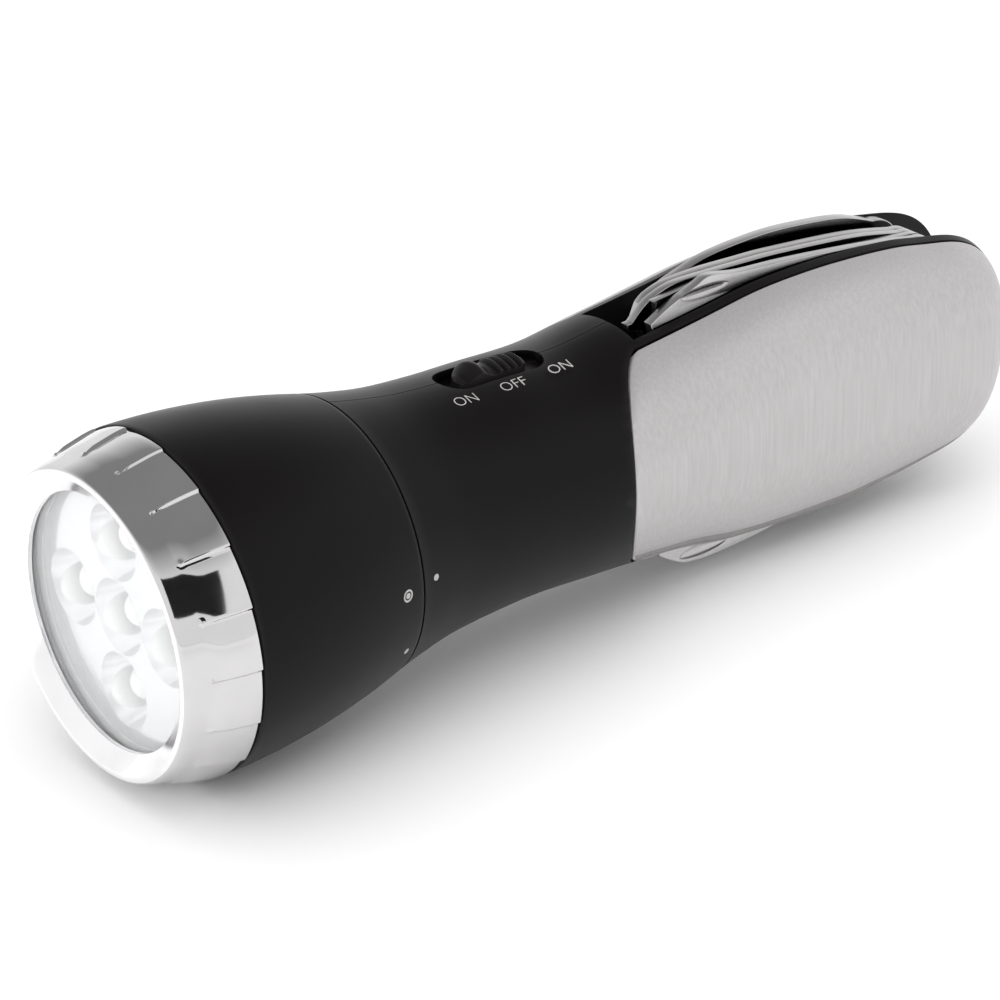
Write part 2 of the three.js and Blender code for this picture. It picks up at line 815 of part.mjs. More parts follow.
function sidePlate(side) {
  const skin = solid(handleForm(0)).subtract(solid(handleForm(plateThickness)));
  return shapeOf(plateRegion(side, 0).intersect(skin));
}

function neckSeal() {
  const geometry = new THREE.TorusGeometry(spigotRadius - sealTube, sealTube, wireFaces, innerFaces);
  return geometry.rotateY(Math.PI / 2).translate(headLength - sealSetback, 0, 0);
}

// Switch
function switchKnob() {
  const baseZ = recessFloorZ + seatGap;
  const height = waistRadius + knobProud - baseZ;
  const half = knobLength / 2;
  const points = [[-half, baseZ], [half, baseZ], [half, baseZ + knobHeelShare * height]];
  for (let i = ridgeCount - 1; i >= 0; i -= 1) {
    const share = ridgePitchShare * i;
    const footX = knobLength * (share + ridgePitchShare * ridgeFootShare);
    points.push([footX, baseZ + height * ridgeLowShare]);
    for (const topShare of ridgeTopShares) {
      const topX = knobLength * (share + ridgePitchShare * topShare);
      points.push([topX, baseZ + height * ridgeHighShare]);
    }
  }
  for (const [along, up] of [...knobShares].reverse()) {
    points.push([knobLength * along, baseZ + height * up]);
  }
  const side = new THREE.Shape(points.map(([x, z]) => new THREE.Vector2(x, z)));
  const width = recessWidth - 2 * seatGap;
  const plan = prism(oval(knobLength, width), baseZ, waistRadius + overrun);
  const cap = solid(slab(side, -width, width)).intersect(solid(plan));
  const stem = block(
    [-stemLength / 2, stemLength / 2],
    [-stemWidth / 2, stemWidth / 2],
    [stemBottomZ, baseZ + seatGap],
  );
  return shapeOf(cap.add(solid(stem)));
}

function switchBody() {
  const half = switchBodyLength / 2;
  const slotReach = stemLength / 2 + knobTravel + seatGap;
  const slotWidth = stemWidth / 2 + seatGap;
  const box = block(
    [-half, half],
    [-switchBodyWidth / 2, switchBodyWidth / 2],
    [switchTopZ - switchBodyHeight, switchTopZ],
  );
  const slot = block(
    [-slotReach, slotReach],
    [-slotWidth, slotWidth],
    [stemBottomZ - seatGap, switchTopZ + overrun],
  );
  return shapeOf(cut(solid(box), [slot]));
}

// Battery pack
function onCircle(circle, angle) {
  return [-circle * Math.sin(rad(angle)), circle * Math.cos(rad(angle))];
}

function batteryHolder() {
  const pieces = [
    rod(holderX, cellsX, holderRadius),
    rod(holderEndX - holderDisc, holderEndX, holderRadius),
    rod(holderX - buttonHeight, holderX + holderDisc / 2, buttonRadius, smallFaces),
  ];
  for (const angle of cellAngles) {
    const [y, z] = onCircle(pillarCircle, angle + halfTurn);
    const pillar = rod(cellsX - holderDisc / 2, holderEndX - holderDisc / 2, pillarRadius, tinyFaces);
    pieces.push(pillar.translate(0, y, z));
  }
  return shapeOf(joined(pieces));
}

// A cell with its raised contact to the front
function cell() {
  return turned([
    [0, 0],
    [0, cellNubRadius],
    [cellNubLength, cellNubRadius],
    [cellNubLength, cellRadius],
    [cellLength, cellRadius],
    [cellLength, 0],
  ], smallFaces);
}

function cellCoil() {
  return coil(0, cellSpringLength, cellCoilNarrowRadius, cellCoilWideRadius, cellCoilTurns);
}

function rearLeaf() {
  const bow = leafRoom - 2 * seatGap - leafThickness;
  const frontX = holderEndX + seatGap;
  const shape = new THREE.Shape();
  shape.moveTo(frontX + bow, -leafHalfLength);
  shape.quadraticCurveTo(frontX - bow, 0, frontX + bow, leafHalfLength);
  shape.lineTo(frontX + bow + leafThickness, leafHalfLength);
  shape.quadraticCurveTo(frontX - bow + leafThickness, 0, frontX + bow + leafThickness, -leafHalfLength);
  return slab(shape, -leafWidth / 2, leafWidth / 2);
}

// Tools: each outline turns round its pivot and is mirrored for the lower bay
function toolShape(side, spineShares, edgeShares, steps = spineSteps) {
  const place = ([along, up]) => new THREE.Vector2(-along * toolReach, up * toolRise);
  const [from, to] = tangArcShares.map((share) => share * Math.PI);
  const tang = [];
  for (let i = 0; i <= tangSteps; i += 1) {
    const angle = from + ((to - from) * i) / tangSteps;
    tang.push(new THREE.Vector2(tangRadius * Math.cos(angle), tangRadius * Math.sin(angle)));
  }
  const curve = new THREE.SplineCurve([tang[tangSteps], ...spineShares.map(place)]);
  const outline = [...tang, ...curve.getPoints(steps).slice(1), ...edgeShares.map(place)];
  const points = outline.map(({ x, y }) => new THREE.Vector2(x, side * y));
  const shape = new THREE.Shape(side > 0 ? points : points.reverse());
  const hole = new THREE.Path();
  hole.absarc(0, 0, pivotPinRadius + seatGap, 0, 2 * Math.PI, true);
  shape.holes.push(hole);
  return shape;
}

function toolSlab(layer, shape) {
  return slab(shape, 0, layerThicknesses[layer]);
}

// A crescent nick cut in the near face
function nick(side, [along, up]) {
  const shape = new THREE.Shape();
  shape.absellipse(0, 0, nickHalfLength, nickHalfHeight, 0, 2 * Math.PI, false);
  const geometry = slab(shape, -overrun, nickDepth);
  return geometry.translate(-along * toolReach, 0, side * up * toolRise);
}

// Slanting cutters that thin a blade towards its edge
function bevels(side, thickness, edgeShare) {
  const edgeZ = edgeShare * toolRise;
  const width = (thickness - edgeThickness) / 2;
  const ramp = (near) => {
    const face = near ? 0 : thickness;
    const inward = near ? 1 : -1;
    const shape = new THREE.Shape();
    shape.moveTo(face, edgeZ + bevelHeight);
    shape.lineTo(face + inward * width, edgeZ);
    shape.lineTo(face + inward * width, edgeZ - overrun);
    shape.lineTo(face - inward * overrun, edgeZ - overrun);
    shape.lineTo(face - inward * overrun, edgeZ + bevelHeight);
    return shape;
  };
  return [true, false].map((near) => {
    const options = { depth: toolReach, bevelEnabled: false };
    const upright = new THREE.Matrix4().makeBasis(
      new THREE.Vector3(0, 1, 0),
      new THREE.Vector3(0, 0, side),
      new THREE.Vector3(side, 0, 0),
    );
    const cutter = new THREE.ExtrudeGeometry(ramp(near), options).applyMatrix4(upright);
    const endX = -tangRadius * bevelStartShare;
    return cutter.translate(side > 0 ? endX - toolReach : endX, 0, 0);
  });
}

function knife() {
  const blade = solid(toolSlab(0, toolShape(1, knifeSpineShares, knifeEdgeShares, bladeSpineSteps)));
  const grinds = bevels(1, bladeThickness, knifeEdgeShares[3][1]);
  return shapeOf(cut(blade, [nick(1, nickShares), ...grinds]));
}

function nailFile() {
  const blade = solid(toolSlab(0, toolShape(-1, fileSpineShares, fileEdgeShares, bladeSpineSteps)));
  return shapeOf(cut(blade, [nick(-1, nickShares)]));
}

function sawBlade() {
  const [noseShare, heelShare] = sawTeethShares;
  const teeth = [];
  for (let i = 0; i < sawToothCount; i += 1) {
    const along = noseShare + ((heelShare - noseShare) * i) / sawToothCount;
    teeth.push([along, sawEdgeShare + sawToothShare], [along, sawEdgeShare]);
  }
  const edge = [sawNoseShares, ...teeth, [heelShare, sawEdgeShare + sawToothShare]];
  return toolSlab(5, toolShape(1, sawSpineShares, edge));
}

function crossDriver() {
  const shaft = toolSlab(4, toolShape(-1, shaftSpineShares, shaftEdgeShares));
  const [endShare, topShare] = shaftSpineShares[shaftSpineShares.length - 1];
  const lowShare = shaftEdgeShares[0][1];
  const middle = ((topShare + lowShare) / 2) * toolRise;
  const rootX = -endShare * toolReach;
  const tipX = -crossTipShare * toolReach;
  const taperX = (rootX + tipX) / 2;
  const radius = Math.min(crossRadius, shaftThickness / 2);
  const tip = turned([
    [tipX, 0],
    [tipX, radius * crossPointShare],
    [taperX, radius],
    [rootX + radius, radius],
    [rootX + radius, 0],
  ], 2 * crossWings);
  const position = tip.attributes.position;
  for (let i = 0; i < position.count; i += 1) {
    const column = Math.round((Math.atan2(position.getY(i), position.getZ(i)) / Math.PI) * crossWings);
    const flute = column % 2 === 0 || position.getX(i) > taperX ? 1 : crossFluteShare;
    position.setY(i, position.getY(i) * flute);
    position.setZ(i, position.getZ(i) * flute);
  }
  return shapeOf(solid(shaft).add(solid(tip.translate(0, shaftThickness / 2, -middle))));
}

// Back springs, pins and spacers
function backSpring(firstLayer, lastLayer) {
  const slitX = springX + springSlitShare * (springEndX - springX);
  const slitRadius = springSlitHeight / 2;
  const shape = new THREE.Shape();
  shape.moveTo(springX, -springHalfHeight);
  shape.lineTo(springEndX, -springHalfHeight);
  shape.lineTo(springEndX, -slitRadius);
  shape.absarc(slitX, 0, slitRadius, Math.PI * 1.5, Math.PI / 2, true);
  shape.lineTo(springEndX, slitRadius);
  shape.lineTo(springEndX, springHalfHeight);
  shape.lineTo(springX, springHalfHeight);
  for (const share of springPinShares) {
    const hole = new THREE.Path();
    hole.absarc(springPinX(share), 0, springPinRadius + seatGap, 0, 2 * Math.PI, true);
    shape.holes.push(hole);
  }
  return slab(shape, layers[firstLayer][0], layers[lastLayer][1]);
}

function spacer(layer) {
  const inner = pivotPinRadius + seatGap;
  const shape = new THREE.Shape();
  shape.absarc(0, 0, inner + spacerWidth, 0, 2 * Math.PI, false);
  const hole = new THREE.Path();
  hole.absarc(0, 0, inner, 0, 2 * Math.PI, true);
  shape.holes.push(hole);
  return toolSlab(layer, shape);
}

// Assembly
const flashlight = new THREE.Group();
const torch = new THREE.Group();
const head = new THREE.Group();
const upperBay = new THREE.Group();
const lowerBay = new THREE.Group();
flashlight.add(torch);
torch.add(head, upperBay, lowerBay);
upperBay.position.set(pivotX, 0, pivotZ);
lowerBay.position.set(pivotX, 0, -pivotZ);

function place(group, name, geometry, material, x = 0, y = 0, z = 0) {
  const mesh = new THREE.Mesh(geometry, material);
  mesh.name = name;
  mesh.position.set(x, y, z);
  group.add(mesh);
  return mesh;
}

place(head, 'bezel', bezel(), chrome());
place(head, 'lens', lens(), clearPlastic());
place(head, 'lens_gasket', lensGasket(), rubber());
place(head, 'reflector', reflector(), silvered());
for (const [name, [y, z]] of Object.entries(cupPlaces)) {
  place(head, `led_${name}`, lamp(), lampPlastic(), 0, y, z);
}
place(head, 'led_board', ledBoard(), boardFace());
place(head, 'head_contact_spring', headCoil(), springSteel());
place(head, 'head_bell', headBell(), satinBlack());

place(torch, 'left_shell', shell(-1), satinBlack());
place(torch, 'right_shell', shell(1), satinBlack());
place(torch, 'left_side_plate', sidePlate(-1), plateSteel());
place(torch, 'right_side_plate', sidePlate(1), plateSteel());
place(torch, 'neck_o_ring', neckSeal(), rubber());
place(torch, 'switch_knob', switchKnob(), satinBlack(), switchX);
place(torch, 'switch_body', switchBody(), darkPlastic(), switchX);

place(torch, 'battery_holder', batteryHolder(), darkPlastic());
cellAngles.forEach((angle, i) => {
  const [y, z] = onCircle(cellCircle, angle);
  const roomEndX = cellsX + cellRoomLength;
  const battery = place(torch, `battery_${i + 1}`, cell(), cellSleeve(), cellsX + seatGap, y, z);
  const contact = place(torch, `battery_spring_${i + 1}`, cellCoil(), springSteel(), 0, y, z);
  contact.position.x = roomEndX - seatGap - cellSpringLength;
  if (i === 1) {
    battery.rotation.z = Math.PI;
    battery.position.x = roomEndX - seatGap;
    contact.position.x = cellsX + seatGap;
  }
});
place(torch, 'rear_contact_spring', rearLeaf(), springSteel());

const driverBlade = toolSlab(1, toolShape(1, driverSpineShares, driverEdgeShares));
const bottleBlade = toolSlab(2, toolShape(1, bottleSpineShares, bottleEdgeShares));
const canBlade = toolSlab(3, toolShape(1, canSpineShares, canEdgeShares));
const awlBlade = toolSlab(2, toolShape(-1, awlSpineShares, awlEdgeShares));
place(upperBay, 'knife_blade', knife(), toolSteel(), 0, layers[0][0]);
place(upperBay, 'small_screwdriver', driverBlade, toolSteel(), 0, layers[1][0]);
place(upperBay, 'bottle_opener', bottleBlade, toolSteel(), 0, layers[2][0]);
place(upperBay, 'can_opener', canBlade, toolSteel(), 0, layers[3][0]);
place(upperBay, 'upper_spacer', spacer(4), springSteel(), 0, layers[4][0]);
place(upperBay, 'saw_blade', sawBlade(), toolSteel(), 0, layers[5][0]);
place(lowerBay, 'nail_file', nailFile(), toolSteel(), 0, layers[0][0]);
place(lowerBay, 'awl', awlBlade, toolSteel(), 0, layers[2][0]);
place(lowerBay, 'phillips_screwdriver', crossDriver(), toolSteel(), 0, layers[4][0]);
[1, 3, 5].forEach((layer, i) => {
  place(lowerBay, `lower_spacer_${i + 1}`, spacer(layer), springSteel(), 0, layers[layer][0]);
});

[[0, 1], [2, 3], [4, 4], [5, 5]].forEach(([first, last], i) => {
  place(torch, `back_spring_${i + 1}`, backSpring(first, last), springSteel());
});
const pivotPin = () => crossRod(0, 0, pivotPinRadius, -pinHalfLength, pinHalfLength);
const springPin = () => crossRod(0, 0, springPinRadius, -pinHalfLength, pinHalfLength);
place(upperBay, 'top_pivot_pin', pivotPin(), springSteel());
place(lowerBay, 'bottom_pivot_pin', pivotPin(), springSteel());
place(torch, 'front_spring_pin', springPin(), springSteel(), springPinX(springPinShares[0]));
place(torch, 'rear_spring_pin', springPin(), springSteel(), springPinX(springPinShares[1]));

// The part stands centred on its origin, with its lowest point at zero
const bounds = new THREE.Box3().setFromObject(flashlight);
const middle = bounds.getCenter(new THREE.Vector3());
torch.position.set(-middle.x, -middle.y, -bounds.min.z);

export default flashlight;
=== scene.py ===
# Looks of the multi-tool torch: finer pieces, materials, floor, light and camera.
# Forms are made in millimetres in the torch's frame, where X runs along its axis from the
# front rim and angles count from the top towards the near side, and then go into the row frame.
import math

import bmesh
import bpy
from mathutils import Euler, Matrix, Vector


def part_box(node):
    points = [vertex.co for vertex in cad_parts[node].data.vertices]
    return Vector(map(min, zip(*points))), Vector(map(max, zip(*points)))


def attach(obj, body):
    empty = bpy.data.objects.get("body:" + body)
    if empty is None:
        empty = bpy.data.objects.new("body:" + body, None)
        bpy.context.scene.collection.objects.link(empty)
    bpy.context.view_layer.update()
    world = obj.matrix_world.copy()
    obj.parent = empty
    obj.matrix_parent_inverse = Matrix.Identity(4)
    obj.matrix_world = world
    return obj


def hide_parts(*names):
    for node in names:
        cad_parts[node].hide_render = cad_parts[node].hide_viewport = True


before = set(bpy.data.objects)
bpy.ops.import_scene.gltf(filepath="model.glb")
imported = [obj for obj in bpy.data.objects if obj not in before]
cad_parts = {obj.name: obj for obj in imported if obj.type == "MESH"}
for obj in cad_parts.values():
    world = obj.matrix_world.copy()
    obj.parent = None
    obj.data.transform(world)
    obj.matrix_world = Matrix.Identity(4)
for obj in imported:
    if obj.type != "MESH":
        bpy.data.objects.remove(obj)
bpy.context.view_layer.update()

MM = 0.001
RIM_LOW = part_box("bezel")[0]
LENS_LOW, LENS_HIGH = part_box("lens")
ORIGIN = Vector((RIM_LOW.x, 0, (LENS_LOW.z + LENS_HIGH.z) / 2))
SHELL_END_X = (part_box("left_shell")[1].x - ORIGIN.x) / MM

# Sizes of the solids and of the finer pieces, in millimetres, angles in degrees
SEAT_GAP = 0.3
LAYER_GAP = 0.2
OVERRUN = 6
HEAD_LENGTH = 37.9
SEAM_WALL = 4.1
BELL_FLARE = 4
BEZEL_LENGTH = 10
BEZEL_PROUD = 0.1
BEZEL_TRIM = 0.04
BELL_WALL = 3.2
RIM_INSET = 2.65
RIM_BEVEL = 0.25
RIM_FLAT = 0.7
CONE_WIDTH = 2.56
LIP_DEPTH = 1.9
LIP_THICKNESS = 0.5
SKIRT_WALL = 1.5
FACET_COUNT = 18
FACET_STEP = 0.4
LENS_OVERLAP = 1.96
LENS_THICKNESS = 1.2
GASKET_THICKNESS = 0.8
GASKET_WIDTH = 1.4
FLANGE_THICKNESS = 1
REFLECTOR_DEPTH = 8.7
REFLECTOR_TAPER = 0.9
CUP_WEB = 0.2
CUP_MARGIN = 1.8
CUP_POWER = 0.6
LAMP_RADIUS = 2.5
LAMP_RIM_RADIUS = 2.9
LAMP_RIM_HEIGHT = 1
LAMP_LENGTH = 8.6
BOARD_INSET = 1.5
BOARD_THICKNESS = 1.6
SHELF_WIDTH = 2
SHELF_THICKNESS = 1.9
CELL_RADIUS = 5.25
CELL_GAP = 0.6
HOLDER_MARGIN = 0.55
SPIGOT_LENGTH = 10.9
SPIGOT_WALL = 2.9
LUG_SETBACK = 1
LUG_LENGTH = 2
LUG_HEIGHT = 1.6
LUG_HALF_ANGLE = 11
LUG_ANGLES = (90, 210, 330)
KEYWAY_SPARE = 2
TWIST_ANGLE = 27
SEAL_TUBE = 0.9
SEAL_SETBACK = 3
SHELL_WALL = 2.2
BULKHEAD_THICKNESS = 3.7
WAIST_MARGIN = 4.44
GRIP_HALF_WIDTH = 15.8
GRIP_MARGIN = 8.85
EAR_REACH = 17
BARREL_ALONG_SHARES = (0, 0.088, 0.217, 0.388, 0.56)
BARREL_FLARE_SHARES = (1, 0.667, 0.288, 0.074, 0)
GRIP_ALONG_SHARES = (-0.135, 0, 0.078, 0.177, 0.291, 0.39, 0.504, 0.674, 0.801, 1)
GRIP_WIDTH_SHARES = (1.067, 1.05, 1.032, 1.016, 1, 0.99, 0.981, 0.956, 0.943, 0.943)
GRIP_TOP_SHARES = (0.808, 0.862, 0.885, 0.918, 0.963, 0.978, 0.972, 0.924, 0.845, 0.83)
GRIP_BOTTOM_SHARES = (0.864, 0.892, 0.906, 0.959, 0.988, 1.009, 1.024, 0.993, 0.946, 0.96)
BARREL_POWER = 2
GRIP_POWER = 2.6
SQUARE_SHARE = 0.35
TAIL_POWER = 2.4
TAIL_CAP_SHARE = 0.985
RIB_THICKNESS = 1.5
RIB_SHARE = 0.24
PLATE_THICKNESS = 1
WALL_EDGE = 1.6
PLATE_LEAD = 9
PLATE_CORNER_REACH = 12.3
PLATE_CORNER_POWER = 2.2
CREASE_SHARE = -0.745
CREASE_ABOVE_SHARE = 0.05
CREASE_BELOW_SHARE = 0.013
CREASE_DEPTH = 0.5
# How far under the crease the plates' painted shadow strip reaches, as a share
CREASE_PAINTED_SHADOW_SHARE = 0.085
CREASE_FADE_SHARE = 0.4
PLATE_EDGE = 0.14
PLATE_TAIL_SPARE = 0.03
SWITCH_SHARE = 0.546
RECESS_LENGTH = 17.1
RECESS_WIDTH = 6.8
RECESS_DEPTH = 1.7
PAD_THICKNESS = 1.8
PAD_MARGIN = 1.8
KNOB_LENGTH = 11.2
KNOB_PROUD = 1.55
KNOB_TRAVEL = 2.4
KNOB_GAP = 1.05
STEM_LENGTH = 2.2
STEM_WIDTH = 2
LAYER_THICKNESSES = (1.5, 1.1, 1.3, 1.3, 2.6, 1.8)
TIP_CLEARANCE = 1.6
TOOL_REACH = 51.9
TOOL_RISE = 10.6
TANG_RADIUS = 5.4
SPRING_HALF_HEIGHT = 5.5
SPRING_SETBACK = 0.8
SPRING_PIN_SHARES = (0.1, 0.4)
PIVOT_PIN_RADIUS = 1.5
SPRING_PIN_RADIUS = 1.3
PIN_BEARING = 2
CELL_LENGTH = 44.5
CELL_SPRING_LENGTH = 2.2
HOLDER_DISC = 2.2
LEAF_ROOM = 1.8

# Sizes and places worked out from them
CELL_CIRCLE = (CELL_RADIUS + CELL_GAP / 2) / math.sin(math.pi / 3)
HOLDER_RADIUS = CELL_CIRCLE + CELL_RADIUS + HOLDER_MARGIN
WAIST_RADIUS = HOLDER_RADIUS + WAIST_MARGIN
SPIGOT_BORE = HOLDER_RADIUS + SEAT_GAP
SPIGOT_RADIUS = SPIGOT_BORE + SPIGOT_WALL
LUG_RADIUS = SPIGOT_RADIUS + LUG_HEIGHT
SEAM_RADIUS = SPIGOT_RADIUS + SEAM_WALL
HEAD_RADIUS = SEAM_RADIUS + BELL_FLARE
BELL_RADIUS = HEAD_RADIUS - BEZEL_PROUD
RIM_RADIUS = HEAD_RADIUS - RIM_INSET
RIM_FLAT_OUTER = RIM_RADIUS - RIM_BEVEL
RIM_FLAT_INNER = RIM_FLAT_OUTER - RIM_FLAT
LENS_OPENING = RIM_FLAT_INNER - CONE_WIDTH
LENS_RADIUS = LENS_OPENING + LENS_OVERLAP
BOARD_RADIUS = LENS_RADIUS - BOARD_INSET
REFLECTOR_RADIUS = LENS_RADIUS - GASKET_WIDTH - SEAT_GAP
CUP_RADIUS = (REFLECTOR_RADIUS - CUP_WEB - CUP_MARGIN) / 3
CUP_CIRCLE = 2 * CUP_RADIUS + CUP_WEB
CUP_THROAT = LAMP_RADIUS + SEAT_GAP
CELLS_LENGTH = CELL_LENGTH + CELL_SPRING_LENGTH + 3 * SEAT_GAP
LENS_X = LIP_DEPTH + LIP_THICKNESS + SEAT_GAP
GASKET_X = LENS_X + LENS_THICKNESS + SEAT_GAP
FLANGE_X = GASKET_X + GASKET_THICKNESS + SEAT_GAP
REFLECTOR_END_X = GASKET_X + REFLECTOR_DEPTH
LAMP_BASE_X = REFLECTOR_END_X + SEAT_GAP + LAMP_RIM_HEIGHT
BOARD_X = LAMP_BASE_X + SEAT_GAP
SHELF_X = BOARD_X + BOARD_THICKNESS + SEAT_GAP
SHELF_END_X = SHELF_X + SHELF_THICKNESS
LENS_BORE = LENS_RADIUS + SEAT_GAP
SKIRT_RADIUS = LENS_BORE + SKIRT_WALL
SPIGOT_X = HEAD_LENGTH - SPIGOT_LENGTH
LUG_X = SPIGOT_X + LUG_SETBACK
LUG_END_X = LUG_X + LUG_LENGTH
HOLDER_END_X = SPIGOT_X + HOLDER_DISC + CELLS_LENGTH + HOLDER_DISC
BULKHEAD_X = HOLDER_END_X + LEAF_ROOM
SLOT_X = BULKHEAD_X + BULKHEAD_THICKNESS
PIVOT_X = SLOT_X + TIP_CLEARANCE + TOOL_REACH
PIVOT_Z = SPRING_HALF_HEIGHT + SEAT_GAP + TANG_RADIUS
GRIP_HALF_HEIGHT = PIVOT_Z + GRIP_MARGIN
HANDLE_END_X = PIVOT_X + EAR_REACH
BARREL_LENGTH = SLOT_X - HEAD_LENGTH
GRIP_LENGTH = HANDLE_END_X - SLOT_X
SWITCH_X = HEAD_LENGTH + SWITCH_SHARE * CELLS_LENGTH
RECESS_FLOOR_Z = WAIST_RADIUS - RECESS_DEPTH
PAD_UNDER_Z = RECESS_FLOOR_Z - PAD_THICKNESS
STACK_WIDTH = sum(LAYER_THICKNESSES) + LAYER_GAP * (len(LAYER_THICKNESSES) - 1)
SLOT_HALF_WIDTH = STACK_WIDTH / 2 + SEAT_GAP
PIN_HALF_LENGTH = SLOT_HALF_WIDTH + PIN_BEARING
PLATE_PLANE = SLOT_HALF_WIDTH + WALL_EDGE
PLATE_X = SLOT_X - PLATE_LEAD
SPRING_X = SLOT_X + SEAT_GAP
SPRING_END_X = PIVOT_X - SPRING_SETBACK
LAYER_FACES = []
for thickness in LAYER_THICKNESSES:
    start = LAYER_FACES[-1][1] + LAYER_GAP if LAYER_FACES else -STACK_WIDTH / 2
    LAYER_FACES.append((start, start + thickness))

# Tool outlines as shares of reach and rise, counted from the pivot
KNIFE_SPINE_SHARES = (
    (0.155, 0.642), (0.347, 0.764), (0.507, 0.849), (0.65, 0.906),
    (0.757, 1), (0.809, 0.925), (0.9, 0.764), (0.967, 0.6),
)
KNIFE_LOW_SHARE = -0.32
KNIFE_EDGE_SHARES = (
    (0.945, 0.25), (0.88, -0.1), (0.78, -0.27),
    (0.6, KNIFE_LOW_SHARE), (0.2, KNIFE_LOW_SHARE), (0.17, -0.45),
)
DRIVER_SPINE_SHARES = ((0.155, 0.6), (0.4, 0.7), (0.6, 0.76), (0.723, 0.877), (0.913, 0.82), (0.92, 0.8))
DRIVER_EDGE_SHARES = ((0.92, 0.42), (0.8, 0.3), (0.66, -0.1), (0.2, -0.25))
BOTTLE_SPINE_SHARES = (
    (0.185, 0.689), (0.459, 0.83), (0.6, 0.87), (0.72, 0.896),
    (0.832, 0.905), (0.9, 0.83), (0.94, 0.736), (0.983, 0.55),
)
BOTTLE_EDGE_SHARES = (
    (1, 0.547), (0.994, 0.45), (0.948, 0.396), (0.94, 0.1), (0.9, 0.02), (0.87, 0.3),
    (0.82, 0.42), (0.76, 0.36), (0.73, 0.15), (0.68, -0.1), (0.2, -0.3),
)
CAN_SPINE_SHARES = (
    (0.185, 0.689), (0.459, 0.83), (0.6, 0.87), (0.72, 0.896), (0.832, 0.88), (0.9, 0.8), (0.93, 0.7),
)
CAN_EDGE_SHARES = (
    (0.95, 0.5), (0.93, 0.36), (0.86, 0.32), (0.83, 0.1), (0.81, -0.05),
    (0.76, 0.2), (0.7, 0.18), (0.66, -0.05), (0.2, -0.3),
)
SAW_SPINE_SHARES = (
    (0.119, 0.71), (0.272, 0.82), (0.42, 0.87), (0.6, 0.83), (0.7, 0.72), (0.79, 0.58), (0.86, 0.36),
)
SAW_NOSE_SHARES = (0.85, 0.1)
SAW_TEETH_SHARES = (0.82, 0.22)
SAW_EDGE_SHARE = -0.3
SAW_TOOTH_SHARE = 0.09
SAW_TOOTH_COUNT = 15
FILE_SPINE_SHARES = (
    (0.155, 0.642), (0.347, 0.8), (0.553, 0.925), (0.7, 0.97),
    (0.775, 0.97), (0.84, 0.934), (0.884, 0.84), (0.934, 0.689),
)
FILE_EDGE_SHARES = ((0.96, 0.45), (0.93, 0.3), (0.8, 0.22), (0.75, 0), (0.2, -0.1), (0.17, -0.4))
AWL_SPINE_SHARES = ((0.155, 0.6), (0.4, 0.68), (0.62, 0.66), (0.75, 0.5), (0.93, 0.2))
AWL_EDGE_SHARES = ((0.72, 0.2), (0.5, -0.1), (0.2, -0.2))
SHAFT_SPINE_SHARES = ((0.155, 0.56), (0.3, 0.52), (0.5, 0.46), (0.74, 0.46))
SHAFT_EDGE_SHARES = ((0.74, 0.1), (0.3, 0), (0.2, -0.25))
TANG_ARC = (-0.52 * math.pi, 0.5 * math.pi)
CROSS_TIP_SHARE = 0.9
NICK_PLACE_SHARES = (0.78, 0.815)
NICK_HALF_LENGTH = 4.4
NICK_HALF_HEIGHT = 0.95
NICK_DEPTH = 0.55
GRIND_HEIGHT = 4.6
EDGE_THICKNESS = 0.3
TOOL_BEVEL = 0.14
GRIND_END_SHARE = 1.4

# How finely the forms are made
ROUND_FACES = 128
SMALL_FACES = 48
SECTION_FACES = 144
STRAIGHT_STEPS = 110
TAIL_STEPS = 26
SPINE_STEPS = 72
PLATE_STEPS = 110
PLATE_ROWS = 64
TANG_STEPS = 40
NICK_STEPS = 24
NICK_FACES = 32
TIP_FACES = 32
CUP_FACES = 64
HALVINGS = 40
SHARP_ANGLE = math.radians(32)
BEVEL_ANGLE = math.radians(40)
FLAT_FACE = 0.97


# Meshes in millimetres
def added(name, data):
    thing = bpy.data.objects.new(name, data)
    bpy.context.scene.collection.objects.link(thing)
    return thing


def solid(name, vertices, polygons):
    mesh = bpy.data.meshes.new(name)
    mesh.from_pydata(vertices, [], polygons)
    form = bmesh.new()
    form.from_mesh(mesh)
    bmesh.ops.recalc_face_normals(form, faces=form.faces)
    form.to_mesh(mesh)
    form.free()
    return added(name, mesh)


def bake(piece):
    graph = bpy.context.evaluated_depsgraph_get()
    mesh = bpy.data.meshes.new_from_object(piece.evaluated_get(graph))
    piece.modifiers.clear()
    piece.data = mesh
    return piece


def combine(piece, others, operation):
    for other in others:
        step = piece.modifiers.new("combine", "BOOLEAN")
        step.operation = operation
        step.solver = "MANIFOLD"
        step.object = other
    bake(piece)
    for other in others:
        bpy.data.objects.remove(other)
    return piece


def cut(piece, cutters):
    return combine(piece, cutters, "DIFFERENCE")


def join(piece, others):
    return combine(piece, others, "UNION")


def meet(piece, others):
    return combine(piece, others, "INTERSECT")


def copied(piece):
    twin = piece.copy()
    twin.data = piece.data.copy()
    bpy.context.scene.collection.objects.link(twin)
    return twin


def moved(piece, x=0, y=0, z=0):
    piece.data.transform(Matrix.Translation((x, y, z)))
    return piece


def bevelled(piece, width):
    step = piece.modifiers.new("edge", "BEVEL")
    step.width = width
    step.segments = 2
    step.limit_method = "ANGLE"
    step.angle_limit = BEVEL_ANGLE
    return bake(piece)


def strip(first, second):
    count = len(first)
    return [
        (first[i], first[(i + 1) % count], second[(i + 1) % count], second[i])
        for i in range(count)
    ]


def grid_faces(start, rows, size):
    faces = []
    for j in range(rows - 1):
        for i in range(size - 1):
            a = start + j * size + i
            faces.append((a, a + 1, a + size + 1, a + size))
    return faces


